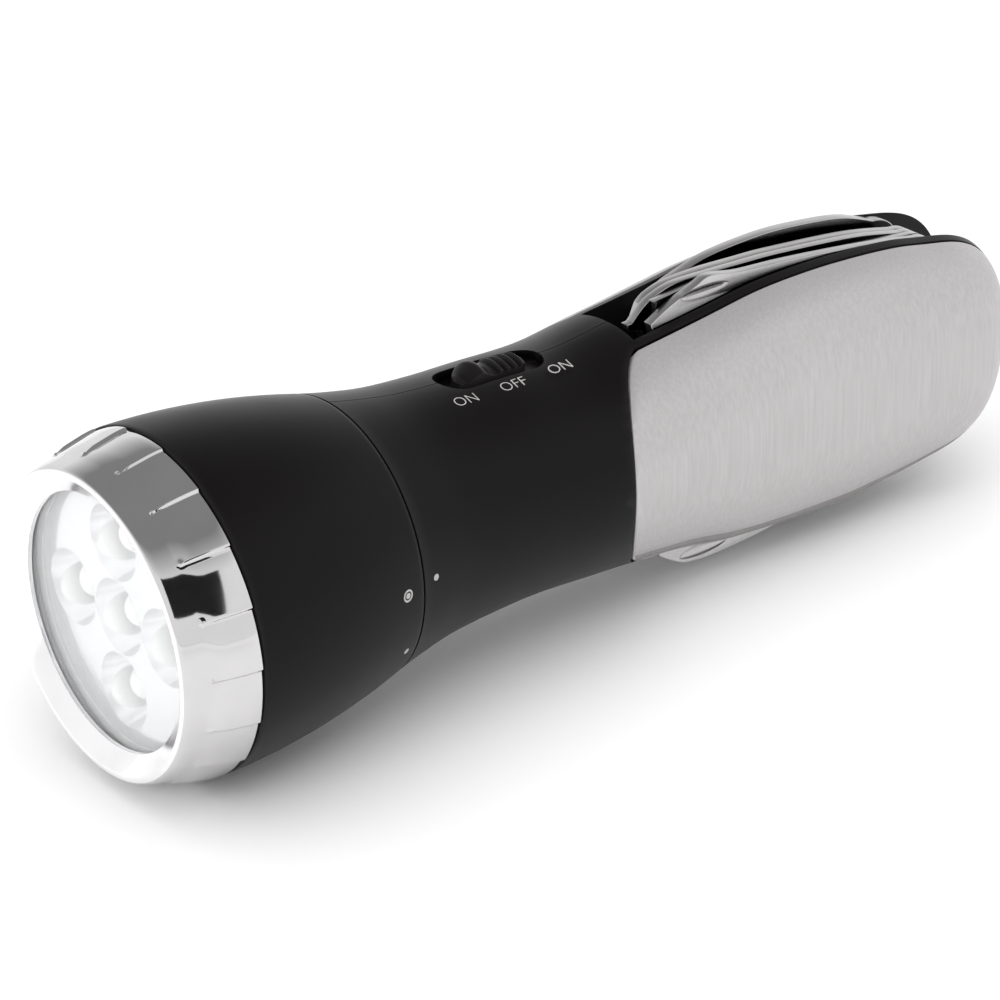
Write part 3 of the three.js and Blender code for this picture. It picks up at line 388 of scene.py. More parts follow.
def grid_border(rows, size):
    top, last = rows - 1, size - 1
    forth = [(0, i) for i in range(size)] + [(j, last) for j in range(1, rows)]
    back = [(top, i) for i in range(last - 1, -1, -1)] + [(j, 0) for j in range(top - 1, 0, -1)]
    return forth + back


def turned(name, profile, faces, ring=False):
    vertices = []
    rows = []
    for x, radius in profile:
        start = len(vertices)
        if radius == 0:
            vertices.append((x, 0, 0))
            rows.append([start] * faces)
            continue
        for i in range(faces):
            angle = 2 * math.pi * i / faces
            vertices.append((x, -radius * math.sin(angle), radius * math.cos(angle)))
        rows.append(list(range(start, start + faces)))
    polygons = []
    following = rows[1:] + ([rows[0]] if ring else [])
    for first, second in zip(rows, following):
        for corners in strip(first, second):
            unique = tuple(dict.fromkeys(corners))
            if len(unique) > 2:
                polygons.append(unique)
    return solid(name, vertices, polygons)


def rod(name, x0, x1, radius):
    return turned(name, [(x0, 0), (x0, radius), (x1, radius), (x1, 0)], ROUND_FACES)


def tube(name, x0, x1, inner, outer):
    return turned(name, [(x0, outer), (x1, outer), (x1, inner), (x0, inner)], ROUND_FACES, ring=True)


def prism(name, outline, low, high, place):
    count = len(outline)
    vertices = [place(u, v, low) for u, v in outline] + [place(u, v, high) for u, v in outline]
    polygons = [tuple(range(count)), tuple(range(count, 2 * count))]
    polygons += strip(list(range(count)), list(range(count, 2 * count)))
    return solid(name, vertices, polygons)


def slab(name, outline, y0, y1):
    return prism(name, outline, y0, y1, lambda x, z, y: (x, y, z))


def block(name, x, y, z):
    outline = [(x[0], z[0]), (x[1], z[0]), (x[1], z[1]), (x[0], z[1])]
    return slab(name, outline, y[0], y[1])


def arc(cx, cz, radius, start, end, steps):
    points = []
    for i in range(steps + 1):
        angle = start + (end - start) * i / steps
        points.append((cx + radius * math.cos(angle), cz + radius * math.sin(angle)))
    return points


def circle(cx, cz, radius):
    return arc(cx, cz, radius, 0, 2 * math.pi, SMALL_FACES)[:-1]


def cross_rod(name, x, z, radius, y0, y1):
    return slab(name, circle(x, z, radius), y0, y1)


def oval(length, width):
    steps = 32
    radius = width / 2
    reach = length / 2 - radius
    half = math.pi / 2
    return arc(reach, 0, radius, -half, half, steps) + arc(-reach, 0, radius, half, 3 * half, steps)


def sector(name, x0, x1, inner, outer, middle, half):
    steps = 16
    start = math.radians(middle - half)
    end = math.radians(middle + half)
    outline = arc(0, 0, outer, start, end, steps) + arc(0, 0, inner, end, start, steps)
    return prism(name, outline, x0, x1, lambda up, near, x: (x, -near, up))


# The handle's form: a curve through its sizes by the formula of three.js's CubicInterpolant
def interpolant(places, values):
    def at(x):
        last = len(places) - 1
        i = 1
        while i < last and x >= places[i]:
            i += 1
        t0, t1 = places[i - 1], places[i]
        before = i - 2 if i >= 2 else i
        after = i + 1 if i < last else i - 1
        half = (t1 - t0) / 2
        lead = half / (t0 - places[before]) if i >= 2 else half / (t0 - t1)
        trail = half / (places[after] - t1) if i < last else half / (t0 - t1)
        p = (x - t0) / (t1 - t0)
        weights = (
            -lead * p ** 3 + 2 * lead * p ** 2 - lead * p,
            (1 + lead) * p ** 3 + (-1.5 - 2 * lead) * p ** 2 + (-0.5 + lead) * p + 1,
            (-1 - trail) * p ** 3 + (1.5 + trail) * p ** 2 + 0.5 * p,
            trail * p ** 3 - trail * p ** 2,
        )
        rows = (values[before], values[i - 1], values[i], values[after])
        return [sum(w * row[k] for w, row in zip(weights, rows)) for k in range(3)]

    return at


BARREL_SIZES = [
    (WAIST_RADIUS + share * (SEAM_RADIUS - WAIST_RADIUS),) * 3 for share in BARREL_FLARE_SHARES
]
GRIP_SIZES = [
    (width * GRIP_HALF_WIDTH, top * GRIP_HALF_HEIGHT, bottom * GRIP_HALF_HEIGHT)
    for width, top, bottom in zip(GRIP_WIDTH_SHARES, GRIP_TOP_SHARES, GRIP_BOTTOM_SHARES)
]
handle_curve = interpolant(
    [HEAD_LENGTH + share * BARREL_LENGTH for share in BARREL_ALONG_SHARES]
    + [SLOT_X + share * GRIP_LENGTH for share in GRIP_ALONG_SHARES],
    BARREL_SIZES + GRIP_SIZES,
)


def section_at(x, inset):
    width, top, bottom = handle_curve(x)
    reach = max(0, x - PIVOT_X) / (HANDLE_END_X - inset - PIVOT_X)
    rounding = max(0, 1 - reach ** TAIL_POWER) ** (1 / TAIL_POWER)
    squareness = min(1, max(0, (x - PLATE_X) / (SLOT_X + SQUARE_SHARE * GRIP_LENGTH - PLATE_X)))
    squareness = squareness ** 2 * (3 - 2 * squareness)
    power = BARREL_POWER + (GRIP_POWER - BARREL_POWER) * squareness
    return (width - inset) * rounding, (top - inset) * rounding, (bottom - inset) * rounding, power


def handle_form(name, inset):
    places = [
        HEAD_LENGTH + (PIVOT_X - HEAD_LENGTH) * i / STRAIGHT_STEPS for i in range(STRAIGHT_STEPS + 1)
    ]
    tail = (HANDLE_END_X - inset - PIVOT_X) * TAIL_CAP_SHARE
    places += [
        PIVOT_X + tail * math.sin(math.pi / 2 * i / TAIL_STEPS) for i in range(1, TAIL_STEPS + 1)
    ]
    profile = [(places[0], 0)] + [(x, 1) for x in places] + [(places[-1], 0)]
    form = turned(name, profile, SECTION_FACES)
    for vertex in form.data.vertices:
        x, y, z = vertex.co
        width, top, bottom, power = section_at(x, inset)
        vertex.co.y = width * math.copysign(abs(y) ** (2 / power), y)
        vertex.co.z = (top if z > 0 else bottom) * math.copysign(abs(z) ** (2 / power), z)
    return form


# Lamp head
def bezel():
    ring_shares = (
        (0.1, 0.12), (0.2, 0.24), (0.28, 0.328), (0.31, 0.362), (0.33, 0.385), (0.345, 0.403),
        (0.36, 0.42), (0.375, 0.438), (0.39, 0.455), (0.41, 0.478), (0.43, 0.502), (0.46, 0.535),
        (0.5, 0.577), (0.55, 0.63), (0.68, 0.76), (0.8, 0.88), (0.9, 0.955), (0.97, 0.99), (1, 0.985),
    )
    facet_shares = tuple(i / 20 for i in range(19)) + (0.93, 0.95, 0.962, 0.975, 0.988)
    facet_rises = tuple(i / 20 for i in range(19)) + (0.93, 0.94, 0.8, 0.42, 0.1)
    bead_place, bead_share, bead_radius, bead_height = 0.36, 0.95, 0.24, 0.2
    ramp_place, ramp_share = 0.31, 0.2
    inner_rounding = ((0.09, -0.06), (0.02, 0.1), (0, 0.3))
    outer_rounding = ((0.03, -0.12), (0.12, 0.07))
    rim_end, lip_corner, cone_corner = 0.35, 0.1, (0.12, 0.03)
    growth = HEAD_RADIUS - BEZEL_TRIM - FACET_STEP - RIM_RADIUS
    rings = [(BEZEL_LENGTH * along, RIM_RADIUS + growth * out) for along, out in ring_shares]
    skirt_end = SHELF_X - SEAT_GAP
    lip_end = LIP_DEPTH + LIP_THICKNESS
    profile = [
        *((x, RIM_FLAT_INNER + out) for x, out in inner_rounding),
        *((x, RIM_FLAT_OUTER + out) for x, out in outer_rounding),
        (rim_end, RIM_RADIUS), *rings,
        (BEZEL_LENGTH, SKIRT_RADIUS), (skirt_end, SKIRT_RADIUS), (skirt_end, LENS_BORE),
        (lip_end, LENS_BORE), (lip_end, LENS_OPENING + lip_corner),
        (lip_end - lip_corner, LENS_OPENING), (LIP_DEPTH, LENS_OPENING),
        (LIP_DEPTH - cone_corner[0], LENS_OPENING + cone_corner[1]),
    ]
    columns = len(facet_shares)
    faces = FACET_COUNT * columns
    form = turned("bezel_fine", profile, faces, ring=True)
    facet_angle = 2 * math.pi / FACET_COUNT
    for index, vertex in enumerate(form.data.vertices):
        column = index % faces
        share = facet_shares[column % columns]
        rise_share = facet_rises[column % columns]
        angle = (column // columns + 0.5 + share) * facet_angle
        x = vertex.co.x
        radius = math.hypot(vertex.co.y, vertex.co.z)
        along = min(1, max(0, (x / BEZEL_LENGTH - ramp_place) / ramp_share))
        on_facet = radius > SKIRT_RADIUS + SEAT_GAP / 2 and x <= BEZEL_LENGTH
        aside = (share - bead_share) * facet_angle * radius
        ahead = x - bead_place * BEZEL_LENGTH
        bead = bead_height * math.exp(-(aside ** 2 + ahead ** 2) / bead_radius ** 2)
        rise = FACET_STEP * rise_share * along + bead if on_facet else 0
        vertex.co.y = -(radius + rise) * math.sin(angle)
        vertex.co.z = (radius + rise) * math.cos(angle)
    return form


CUP_PLACES = {
    "centre": (0, 0),
    "top": (0, CUP_CIRCLE),
    "near": (-CUP_CIRCLE, 0),
    "bottom": (0, -CUP_CIRCLE),
    "far": (CUP_CIRCLE, 0),
}


def reflector():
    face = REFLECTOR_RADIUS
    body = turned("reflector_fine", [
        (GASKET_X, 0), (GASKET_X, face), (FLANGE_X, face), (FLANGE_X, LENS_RADIUS),
        (FLANGE_X + FLANGE_THICKNESS, LENS_RADIUS), (FLANGE_X + FLANGE_THICKNESS, face),
        (REFLECTOR_END_X, face - REFLECTOR_TAPER), (REFLECTOR_END_X, 0),
    ], ROUND_FACES)
    wall_steps = 14
    wall = []
    for i in range(wall_steps + 1):
        share = i / wall_steps
        throat = CUP_THROAT + (CUP_RADIUS - CUP_THROAT) * (1 - share) ** CUP_POWER
        wall.append((GASKET_X + share * REFLECTOR_DEPTH, throat))
    cups = []
    for y, z in CUP_PLACES.values():
        profile = [
            (GASKET_X - OVERRUN, 0), (GASKET_X - OVERRUN, CUP_RADIUS), *wall,
            (REFLECTOR_END_X + OVERRUN, CUP_THROAT), (REFLECTOR_END_X + OVERRUN, 0),
        ]
        cups.append(moved(turned("cup", profile, CUP_FACES), y=y, z=z))
    return cut(body, cups)


def lamp(name):
    dome_x = LAMP_BASE_X - LAMP_LENGTH + LAMP_RADIUS
    dome_steps, rim_bevel = 12, 0.1
    dome = []
    for i in range(dome_steps + 1):
        angle = math.pi / 2 * i / dome_steps
        dome.append((dome_x - LAMP_RADIUS * math.cos(angle), LAMP_RADIUS * math.sin(angle)))
    flange_x = LAMP_BASE_X - LAMP_RIM_HEIGHT
    return turned(name, [
        *dome, (flange_x, LAMP_RADIUS),
        (flange_x, LAMP_RIM_RADIUS - rim_bevel), (flange_x + rim_bevel, LAMP_RIM_RADIUS),
        (LAMP_BASE_X, LAMP_RIM_RADIUS), (LAMP_BASE_X, 0),
    ], SMALL_FACES)


def bell_radius(x):
    along = (x - BEZEL_LENGTH) / (HEAD_LENGTH - BEZEL_LENGTH)
    return BELL_RADIUS - (BELL_RADIUS - SEAM_RADIUS) * along ** 2


def head_bell():
    front = BEZEL_LENGTH + SEAT_GAP
    seam, edge, corner, steps = 0.15, 0.25, 0.07, 60
    rear = HEAD_LENGTH - seam
    outer = [(front, bell_radius(front) - edge), (front + corner, bell_radius(front) - corner)]
    for i in range(steps + 1):
        x = front + edge + (rear - front - 2 * edge) * i / steps
        outer.append((x, bell_radius(x)))
    outer += [(rear - corner, bell_radius(rear) - corner), (rear, bell_radius(rear) - edge)]
    bore = SPIGOT_RADIUS + SEAT_GAP
    lug_room = LUG_RADIUS + 2 * SEAT_GAP
    catch = LUG_END_X + SEAT_GAP
    shelf_bore = BOARD_RADIUS - SHELF_WIDTH
    body = turned("head_bell_fine", [
        *outer, (rear, bore), (catch, bore), (catch, lug_room), (SPIGOT_X - SEAT_GAP, lug_room),
        (SHELF_END_X, bell_radius(SHELF_END_X) - BELL_WALL), (SHELF_END_X, shelf_bore),
        (SHELF_X, shelf_bore), (SHELF_X, SKIRT_RADIUS + SEAT_GAP), (front, SKIRT_RADIUS + SEAT_GAP),
    ], 2 * ROUND_FACES, ring=True)
    keyways = [
        sector("keyway", LUG_X, rear + OVERRUN, bore - SEAT_GAP, LUG_RADIUS + SEAT_GAP,
               angle + TWIST_ANGLE, LUG_HALF_ANGLE + KEYWAY_SPARE)
        for angle in LUG_ANGLES
    ]
    return cut(body, keyways)


# Handle shells
def plate_edges(x):
    # How far over and under the axis the plates' inner plane meets the handle's surface
    width, top, bottom, power = section_at(x, 0)
    share = (1 - (PLATE_PLANE / width) ** power) ** (1 / power)
    return top * share, bottom * share


def plate_outline(spare):
    top_edge, bottom_edge = plate_edges(PLATE_X + PLATE_CORNER_REACH)
    corner = PLATE_X - spare + PLATE_CORNER_REACH
    tall = GRIP_HALF_HEIGHT + OVERRUN
    end = HANDLE_END_X + OVERRUN
    outline = [(corner, -tall), (end, -tall), (end, tall), (corner, tall)]
    steps = 60
    for i in range(steps + 1):
        angle = math.pi * (0.5 + i / steps)
        along = abs(math.cos(angle)) ** (2 / PLATE_CORNER_POWER)
        up = math.copysign(abs(math.sin(angle)) ** (2 / PLATE_CORNER_POWER), math.sin(angle))
        height = top_edge if up > 0 else bottom_edge
        outline.append((corner - PLATE_CORNER_REACH * along, (height + spare) * up))
    return outline


def shells():
    body = handle_form("handle", 0)
    room_x = HEAD_LENGTH + SHELL_WALL
    wide = HEAD_RADIUS + OVERRUN
    tall = GRIP_HALF_HEIGHT + OVERRUN
    limit = block("limit", (room_x, BULKHEAD_X), (-wide, wide), (-wide, wide))
    room = meet(handle_form("room", SHELL_WALL), [limit])
    ribs = []
    for x in (room_x + RIB_SHARE * (BULKHEAD_X - room_x), HOLDER_END_X - HOLDER_DISC):
        ribs.append(tube("rib", x, x + RIB_THICKNESS, SPIGOT_BORE, SEAM_RADIUS))
    pad_length = RECESS_LENGTH + PAD_MARGIN
    pad_width = RECESS_WIDTH + PAD_MARGIN
    ribs.append(block(
        "pad", (SWITCH_X - pad_length / 2, SWITCH_X + pad_length / 2),
        (-pad_width / 2, pad_width / 2), (PAD_UNDER_Z, WAIST_RADIUS),
    ))
    cut(room, ribs)
    doorway = rod("doorway", HEAD_LENGTH - OVERRUN, room_x + OVERRUN / 2, SPIGOT_BORE)
    cut(body, [room, doorway])
    bay_end = HANDLE_END_X + OVERRUN
    bay = block("bay", (SLOT_X, bay_end), (-SLOT_HALF_WIDTH, SLOT_HALF_WIDTH), (-tall, tall))
    recess = prism(
        "recess", [(SWITCH_X + u, v) for u, v in oval(RECESS_LENGTH, RECESS_WIDTH)],
        RECESS_FLOOR_Z, WAIST_RADIUS + OVERRUN, lambda x, y, z: (x, y, z),
    )
    slot_reach = STEM_LENGTH / 2 + KNOB_TRAVEL + SEAT_GAP
    slot_width = STEM_WIDTH / 2 + SEAT_GAP
    stem_slot = block(
        "stem_slot", (SWITCH_X - slot_reach, SWITCH_X + slot_reach),
        (-slot_width, slot_width), (PAD_UNDER_Z - OVERRUN / 2, WAIST_RADIUS),
    )
    reach = PIN_HALF_LENGTH + SEAT_GAP
    holes = [
        cross_rod("hole", PIVOT_X, z, PIVOT_PIN_RADIUS + SEAT_GAP, -reach, reach)
        for z in (PIVOT_Z, -PIVOT_Z)
    ]
    for share in SPRING_PIN_SHARES:
        x = SPRING_X + share * (SPRING_END_X - SPRING_X)
        holes.append(cross_rod("hole", x, 0, SPRING_PIN_RADIUS + SEAT_GAP, -reach, reach))
    cut(body, [bay, recess, stem_slot, *holes])
    seal_x = HEAD_LENGTH - SEAL_SETBACK
    groove = tube(
        "groove", seal_x - SEAL_TUBE - SEAT_GAP, seal_x + SEAL_TUBE + SEAT_GAP,
        SPIGOT_RADIUS - 2 * SEAL_TUBE - SEAT_GAP, SPIGOT_RADIUS + OVERRUN / 2,
    )
    spigot = cut(tube("spigot", SPIGOT_X, room_x, SPIGOT_BORE, SPIGOT_RADIUS), [groove])
    lugs = [
        sector(
            "lug", LUG_X, LUG_END_X, SPIGOT_RADIUS - SPIGOT_WALL / 2, LUG_RADIUS,
            angle, LUG_HALF_ANGLE,
        )
        for angle in LUG_ANGLES
    ]
    join(body, [spigot, *lugs])
    for side in (-1, 1):
        inner = PLATE_PLANE - SEAT_GAP
        limits = (-wide, -inner) if side < 0 else (inner, wide)
        region = slab("plate_room", plate_outline(SEAT_GAP), *limits)
        cut(region, [handle_form("skin", PLATE_THICKNESS + SEAT_GAP)])
        cut(body, [region])
    parting = 0.07
    far = copied(body)
    meet(body, [block("near_half", (0, SHELL_END_X), (-wide, -parting), (-wide, wide))])
    meet(far, [block("far_half", (0, SHELL_END_X), (parting, wide), (-wide, wide))])
    return body, far


# Side plates, made straight from the handle's sections so that their faces stay even
def lip_angle(x, inset, plane):
    width, _, _, power = section_at(x, inset)
    if width <= plane:
        return 0
    return math.acos((plane / width) ** (power / 2))


def plate_point(x, share, inset, plane, side):
    width, top, bottom, power = section_at(x, inset)
    height = top if share > 0 else bottom
    angle = share * lip_angle(x, inset, plane)
    y = width * math.cos(angle) ** (2 / power)
    z = height * math.copysign(abs(math.sin(angle)) ** (2 / power), angle)
    return x, side * y, z


# The place between low and high where the condition stops holding, from both sides
def halved(low, high, holds):
    for _ in range(HALVINGS):
        x = (low + high) / 2
        low, high = (x, high) if holds(x) else (low, x)
    return low, high


def plate_front(share, inset, plane, shrink):
    corner = PLATE_X + shrink + PLATE_CORNER_REACH
    top_edge, bottom_edge = plate_edges(PLATE_X + PLATE_CORNER_REACH)
    limit = (top_edge if share > 0 else bottom_edge) - shrink

    def outside(x):
        along = (corner - x) / PLATE_CORNER_REACH
        up = abs(plate_point(x, share, inset, plane, 1)[2]) / limit
        return along ** PLATE_CORNER_POWER + up ** PLATE_CORNER_POWER > 1

    return halved(PLATE_X + shrink, corner, outside)[1]


def plate_tail(inset, plane):
    return halved(PIVOT_X, HANDLE_END_X - inset, lambda x: section_at(x, inset)[0] > plane)[0]


def crease_depth(share):
    width = CREASE_ABOVE_SHARE if share > CREASE_SHARE else CREASE_BELOW_SHARE
    return CREASE_DEPTH * math.exp(-((share - CREASE_SHARE) / width) ** 2)


# Rows of the plates from bottom to top, closer together at the edges and the crease
PLATE_SHARES = sorted(
    [math.sin(math.pi / 2 * (2 * j / PLATE_ROWS - 1)) for j in range(PLATE_ROWS + 1)]
    + [CREASE_SHARE + CREASE_BELOW_SHARE * k / 2 for k in range(-8, 5)]
)


def side_plate(name, side):
    def grid(inset, plane, shrink):
        tail = plate_tail(inset, plane) - PLATE_TAIL_SPARE
        rows = []
        for share in PLATE_SHARES:
            front = plate_front(share, inset, plane, shrink)
            row = []
            for i in range(PLATE_STEPS + 1):
                u = 1 - (1 - i / PLATE_STEPS) ** 2
                depth = inset or crease_depth(share) * min(1, (1 - u) / CREASE_FADE_SHARE)
                row.append(plate_point(front + (tail - front) * u, share, depth, plane, side))
            rows.append(row)
        return rows

    outer = grid(0, PLATE_PLANE + PLATE_EDGE, PLATE_EDGE)
    bevel = grid(PLATE_EDGE, PLATE_PLANE, 0)
    inner = grid(PLATE_THICKNESS, PLATE_PLANE, 0)
    size = PLATE_STEPS + 1
    border = grid_border(len(PLATE_SHARES), size)
    vertices = []
    polygons = []

    def add(rows):
        start = len(vertices)
        for row in rows:
            vertices.extend(row)
        polygons.extend(grid_faces(start, len(rows), size))
        return [start + j * size + i for j, i in border]

    outer_loop = add(outer)
    bevel_loop = [len(vertices) + k for k in range(len(border))]
    vertices.extend(bevel[j][i] for j, i in border)
    inner_loop = add(inner)
    polygons.extend(strip(outer_loop, bevel_loop))
    polygons.extend(strip(bevel_loop, inner_loop))
    return solid(name, vertices, polygons)


# Switch
def knob():
    base = RECESS_FLOOR_Z + SEAT_GAP
    height = WAIST_RADIUS + KNOB_PROUD - base
    half_width = RECESS_WIDTH / 2 - KNOB_GAP
    half = KNOB_LENGTH / 2
    reach = half - half_width
    body_share, rear_fall, nose_place, nose_fall = 0.56, 0.1, -0.3, 0.7
    hump_share, hump_place, hump_reach, hump_power = 0.44, -0.26, 0.12, 2.4
    ridge_share, ridge_pitch, ridge_count = 0.2, 0.108, 4
    crown_fall, crown_power, end_fall, end_share = 0.3, 2.2, 0.35, 0.1
    thinnest = 0.02
    columns, rows = 128, 20

    def top(share):
        body = body_share - rear_fall * max(0, share) - nose_fall * max(0, nose_place - share)
        hump = hump_share * math.exp(-(abs(share - hump_place) / hump_reach) ** hump_power)
        along = share / ridge_pitch
        ridge = ridge_share * math.sin(math.pi * along) ** 2 if 0 < along < ridge_count else 0
        return body + hump + ridge

    vertices = []
    for i in range(columns + 1):
        share = -0.5 + i / columns
        x = half * math.sin(math.pi * share)
        outside = max(0, abs(x) - reach)
        width = max(thinnest, math.sqrt(max(0, half_width ** 2 - outside ** 2)))
        for j in range(rows + 1):
            v = math.sin(math.pi / 2 * (2 * j / rows - 1))
            crown = 1 - crown_fall * abs(v) ** crown_power
            round_off = 1 - end_fall * max(0, abs(x) / half - 1 + end_share) / end_share
            z = base + height * top(x / KNOB_LENGTH) * crown * round_off
            vertices.append((SWITCH_X + x, v * width, z))
    size = rows + 1
    count = len(vertices)
    vertices += [(x, y, base) for x, y, _ in vertices]
    polygons = []
    for corners in grid_faces(0, columns + 1, size):
        polygons += [corners, tuple(a + count for a in corners)]
    loop = [i * size + j for i, j in grid_border(columns + 1, size)]
    polygons += strip(loop, [i + count for i in loop])
    cap = solid("switch_knob_fine", vertices, polygons)
    stem_foot = 1.1
    stem = block(
        "stem", (SWITCH_X - STEM_LENGTH / 2, SWITCH_X + STEM_LENGTH / 2),
        (-STEM_WIDTH / 2, STEM_WIDTH / 2), (PAD_UNDER_Z - SEAT_GAP - stem_foot, base + SEAT_GAP),
    )
    return join(cap, [stem])


# Tools: their backs are Catmull-Rom curves, like three.js's SplineCurve
def spline(points, steps):
    def blend(t, p0, p1, p2, p3):
        v0, v1 = (p2 - p0) / 2, (p3 - p1) / 2
        cubic, square = 2 * p1 - 2 * p2 + v0 + v1, -3 * p1 + 3 * p2 - 2 * v0 - v1
        return cubic * t ** 3 + square * t ** 2 + v0 * t + p1

    last = len(points) - 1
    result = []
    for i in range(steps + 1):
        p = last * i / steps
        k = min(int(p), last - 1)
        near = [points[max(k - 1, 0)], points[k], points[min(k + 1, last)], points[min(k + 2, last)]]
        result.append(tuple(blend(p - k, *(q[axis] for q in near)) for axis in range(2)))
    return result


def tool_outline(side, spine, edge):
    def place(point):
        return -point[0] * TOOL_REACH, point[1] * TOOL_RISE

    tang = arc(0, 0, TANG_RADIUS, *TANG_ARC, TANG_STEPS)
    back = spline([tang[-1]] + [place(p) for p in spine], SPINE_STEPS)[1:]
    points = tang + back + [place(p) for p in edge]
    return [(x, side * z) for x, z in points]


def tool(name, layer, side, spine, edge, cutters, additions):
    y0, y1 = LAYER_FACES[layer]
    outline = tool_outline(side, spine, edge)
    blade = bevelled(slab(name, outline, 0, y1 - y0), TOOL_BEVEL)
    cut(blade, [cross_rod("bore", 0, 0, PIVOT_PIN_RADIUS + SEAT_GAP, -OVERRUN, OVERRUN), *cutters])
    if additions:
        join(blade, additions)
    blade.name = name
    return moved(blade, PIVOT_X, y0, side * PIVOT_Z)


def nick(side):
    along, up = NICK_PLACE_SHARES
    profile = []
    for i in range(NICK_STEPS + 1):
        angle = math.pi * i / NICK_STEPS
        radius = 0 if i in (0, NICK_STEPS) else NICK_HALF_HEIGHT * math.sin(angle)
        profile.append((-NICK_HALF_LENGTH * math.cos(angle), radius))
    cutter = turned("nick", profile, NICK_FACES)
    for vertex in cutter.data.vertices:
        vertex.co.y *= NICK_DEPTH / NICK_HALF_HEIGHT
    return moved(cutter, -along * TOOL_REACH, 0, side * up * TOOL_RISE)


def grinds(side, thickness, edge_share):
    edge_z = edge_share * TOOL_RISE
    width = (thickness - EDGE_THICKNESS) / 2
    cutters = []
    for face, inward in ((0, 1), (thickness, -1)):
        outline = [
            (face, edge_z + GRIND_HEIGHT), (face + inward * width, edge_z),
            (face + inward * width, edge_z - OVERRUN), (face - inward * OVERRUN, edge_z - OVERRUN),
            (face - inward * OVERRUN, edge_z + GRIND_HEIGHT),
        ]
        end = -TANG_RADIUS * GRIND_END_SHARE
        cutters.append(prism("grind", outline, end - TOOL_REACH, end, lambda y, z, x: (x, y, side * z)))
    return cutters


def saw_edge():
    nose, heel = SAW_TEETH_SHARES
    teeth = [SAW_NOSE_SHARES]
    for i in range(SAW_TOOTH_COUNT):
        along = nose + (heel - nose) * i / SAW_TOOTH_COUNT
        teeth += [(along, SAW_EDGE_SHARE + SAW_TOOTH_SHARE), (along, SAW_EDGE_SHARE)]
    return teeth + [(heel, SAW_EDGE_SHARE + SAW_TOOTH_SHARE)]


def cross_tip(radius):
    root, top = SHAFT_SPINE_SHARES[-1]
    low = SHAFT_EDGE_SHARES[0][1]
    middle = (top + low) / 2 * TOOL_RISE
    root_x, tip_x = -root * TOOL_REACH, -CROSS_TIP_SHARE * TOOL_REACH
    taper_x = (root_x + tip_x) / 2
    point_share, shoulder_share, shoulder, step, flute_share = 0.25, 0.55, 1, 0.01, 0.5
    tip = turned("cross", [
        (tip_x, 0), (tip_x, radius * point_share), (tip_x + shoulder, radius * shoulder_share),
        (taper_x, radius), (taper_x + step, radius), (root_x + radius, radius), (root_x + radius, 0),
    ], TIP_FACES)
    for vertex in tip.data.vertices:
        x, y, z = vertex.co
        if x <= taper_x:
            flute = 1 - flute_share * abs(math.sin(2 * math.atan2(y, z)))
            vertex.co.y = y * flute
            vertex.co.z = z * flute
    return moved(tip, 0, radius, -middle)


# Materials
EVEN = (1, 1, 1)


class Graph:
    def __init__(self, tree):
        self.nodes = tree.nodes
        self.links = tree.links

    def node(self, kind, **settings):
        made = self.nodes.new(kind)
        for key, value in settings.items():
            if key in made.inputs:
                made.inputs[key].default_value = value
            else:
                setattr(made, key, value)
        return made

    def ranged(self, source, low, high, out_low, out_high):
        made = self.node("ShaderNodeMapRange", **{
            "From Min": low, "From Max": high, "To Min": out_low, "To Max": out_high,
        })
        self.links.new(source, made.inputs["Value"])
        return made.outputs["Result"]

    # Most of the grain's values lie within this range
    def spread(self, source, out_low, out_high):
        return self.ranged(source, 0.3, 0.7, out_low, out_high)

    def grain(self, stretch, scale, detail):
        place = self.node("ShaderNodeTexCoord")
        mapping = self.node("ShaderNodeMapping", Scale=stretch)
        noise = self.node("ShaderNodeTexNoise", Scale=scale, Detail=detail)
        self.links.new(place.outputs["Object"], mapping.inputs["Vector"])
        self.links.new(mapping.outputs["Vector"], noise.inputs["Vector"])
        return noise.outputs["Fac"]


class Look(Graph):
    def __init__(self, name, color, roughness, metallic=0.0, specular=0.5):
        self.material = bpy.data.materials.new(name)
        self.material.use_nodes = True
        super().__init__(self.material.node_tree)
        self.sockets = self.nodes["Principled BSDF"].inputs
        self.sockets["Base Color"].default_value = (*color, 1)
        self.sockets["Roughness"].default_value = roughness
        self.sockets["Metallic"].default_value = metallic
        self.sockets["Specular IOR Level"].default_value = specular

    def tint(self, source, dark, light):
        mix = self.node("ShaderNodeMix", data_type="RGBA")
        colors = [i for i in mix.inputs if i.type == "RGBA"]
        colors[0].default_value = (*dark, 1)
        colors[1].default_value = (*light, 1)
        self.links.new(source, mix.inputs["Factor"])
        self.links.new([o for o in mix.outputs if o.type == "RGBA"][0], self.sockets["Base Color"])

    def roughen(self, source, low, high):
        self.links.new(self.spread(source, low, high), self.sockets["Roughness"])

    def bump(self, source, strength, distance):
        bump = self.node("ShaderNodeBump", Strength=strength, Distance=distance)
        self.links.new(source, bump.inputs["Height"])
        self.links.new(bump.outputs["Normal"], self.sockets["Normal"])


def satin_plastic(name, dark, light, roughness):
    look = Look(name, dark, roughness, specular=0.12)
    broad = look.grain(EVEN, 55.0, 3.0)
    fine = look.grain(EVEN, 5200.0, 2.0)
    # Lighter along sharp outer edges and darker on flat and hollow faces, following the mesh's pointiness
    edge_pointiness = look.node("ShaderNodeNewGeometry").outputs["Pointiness"]
    look.tint(look.ranged(edge_pointiness, 0.49, 0.56, 0, 1), dark, light)
    look.roughen(broad, roughness - 0.04, roughness + 0.04)
    look.bump(fine, 0.12, 0.00003)
    return look.material


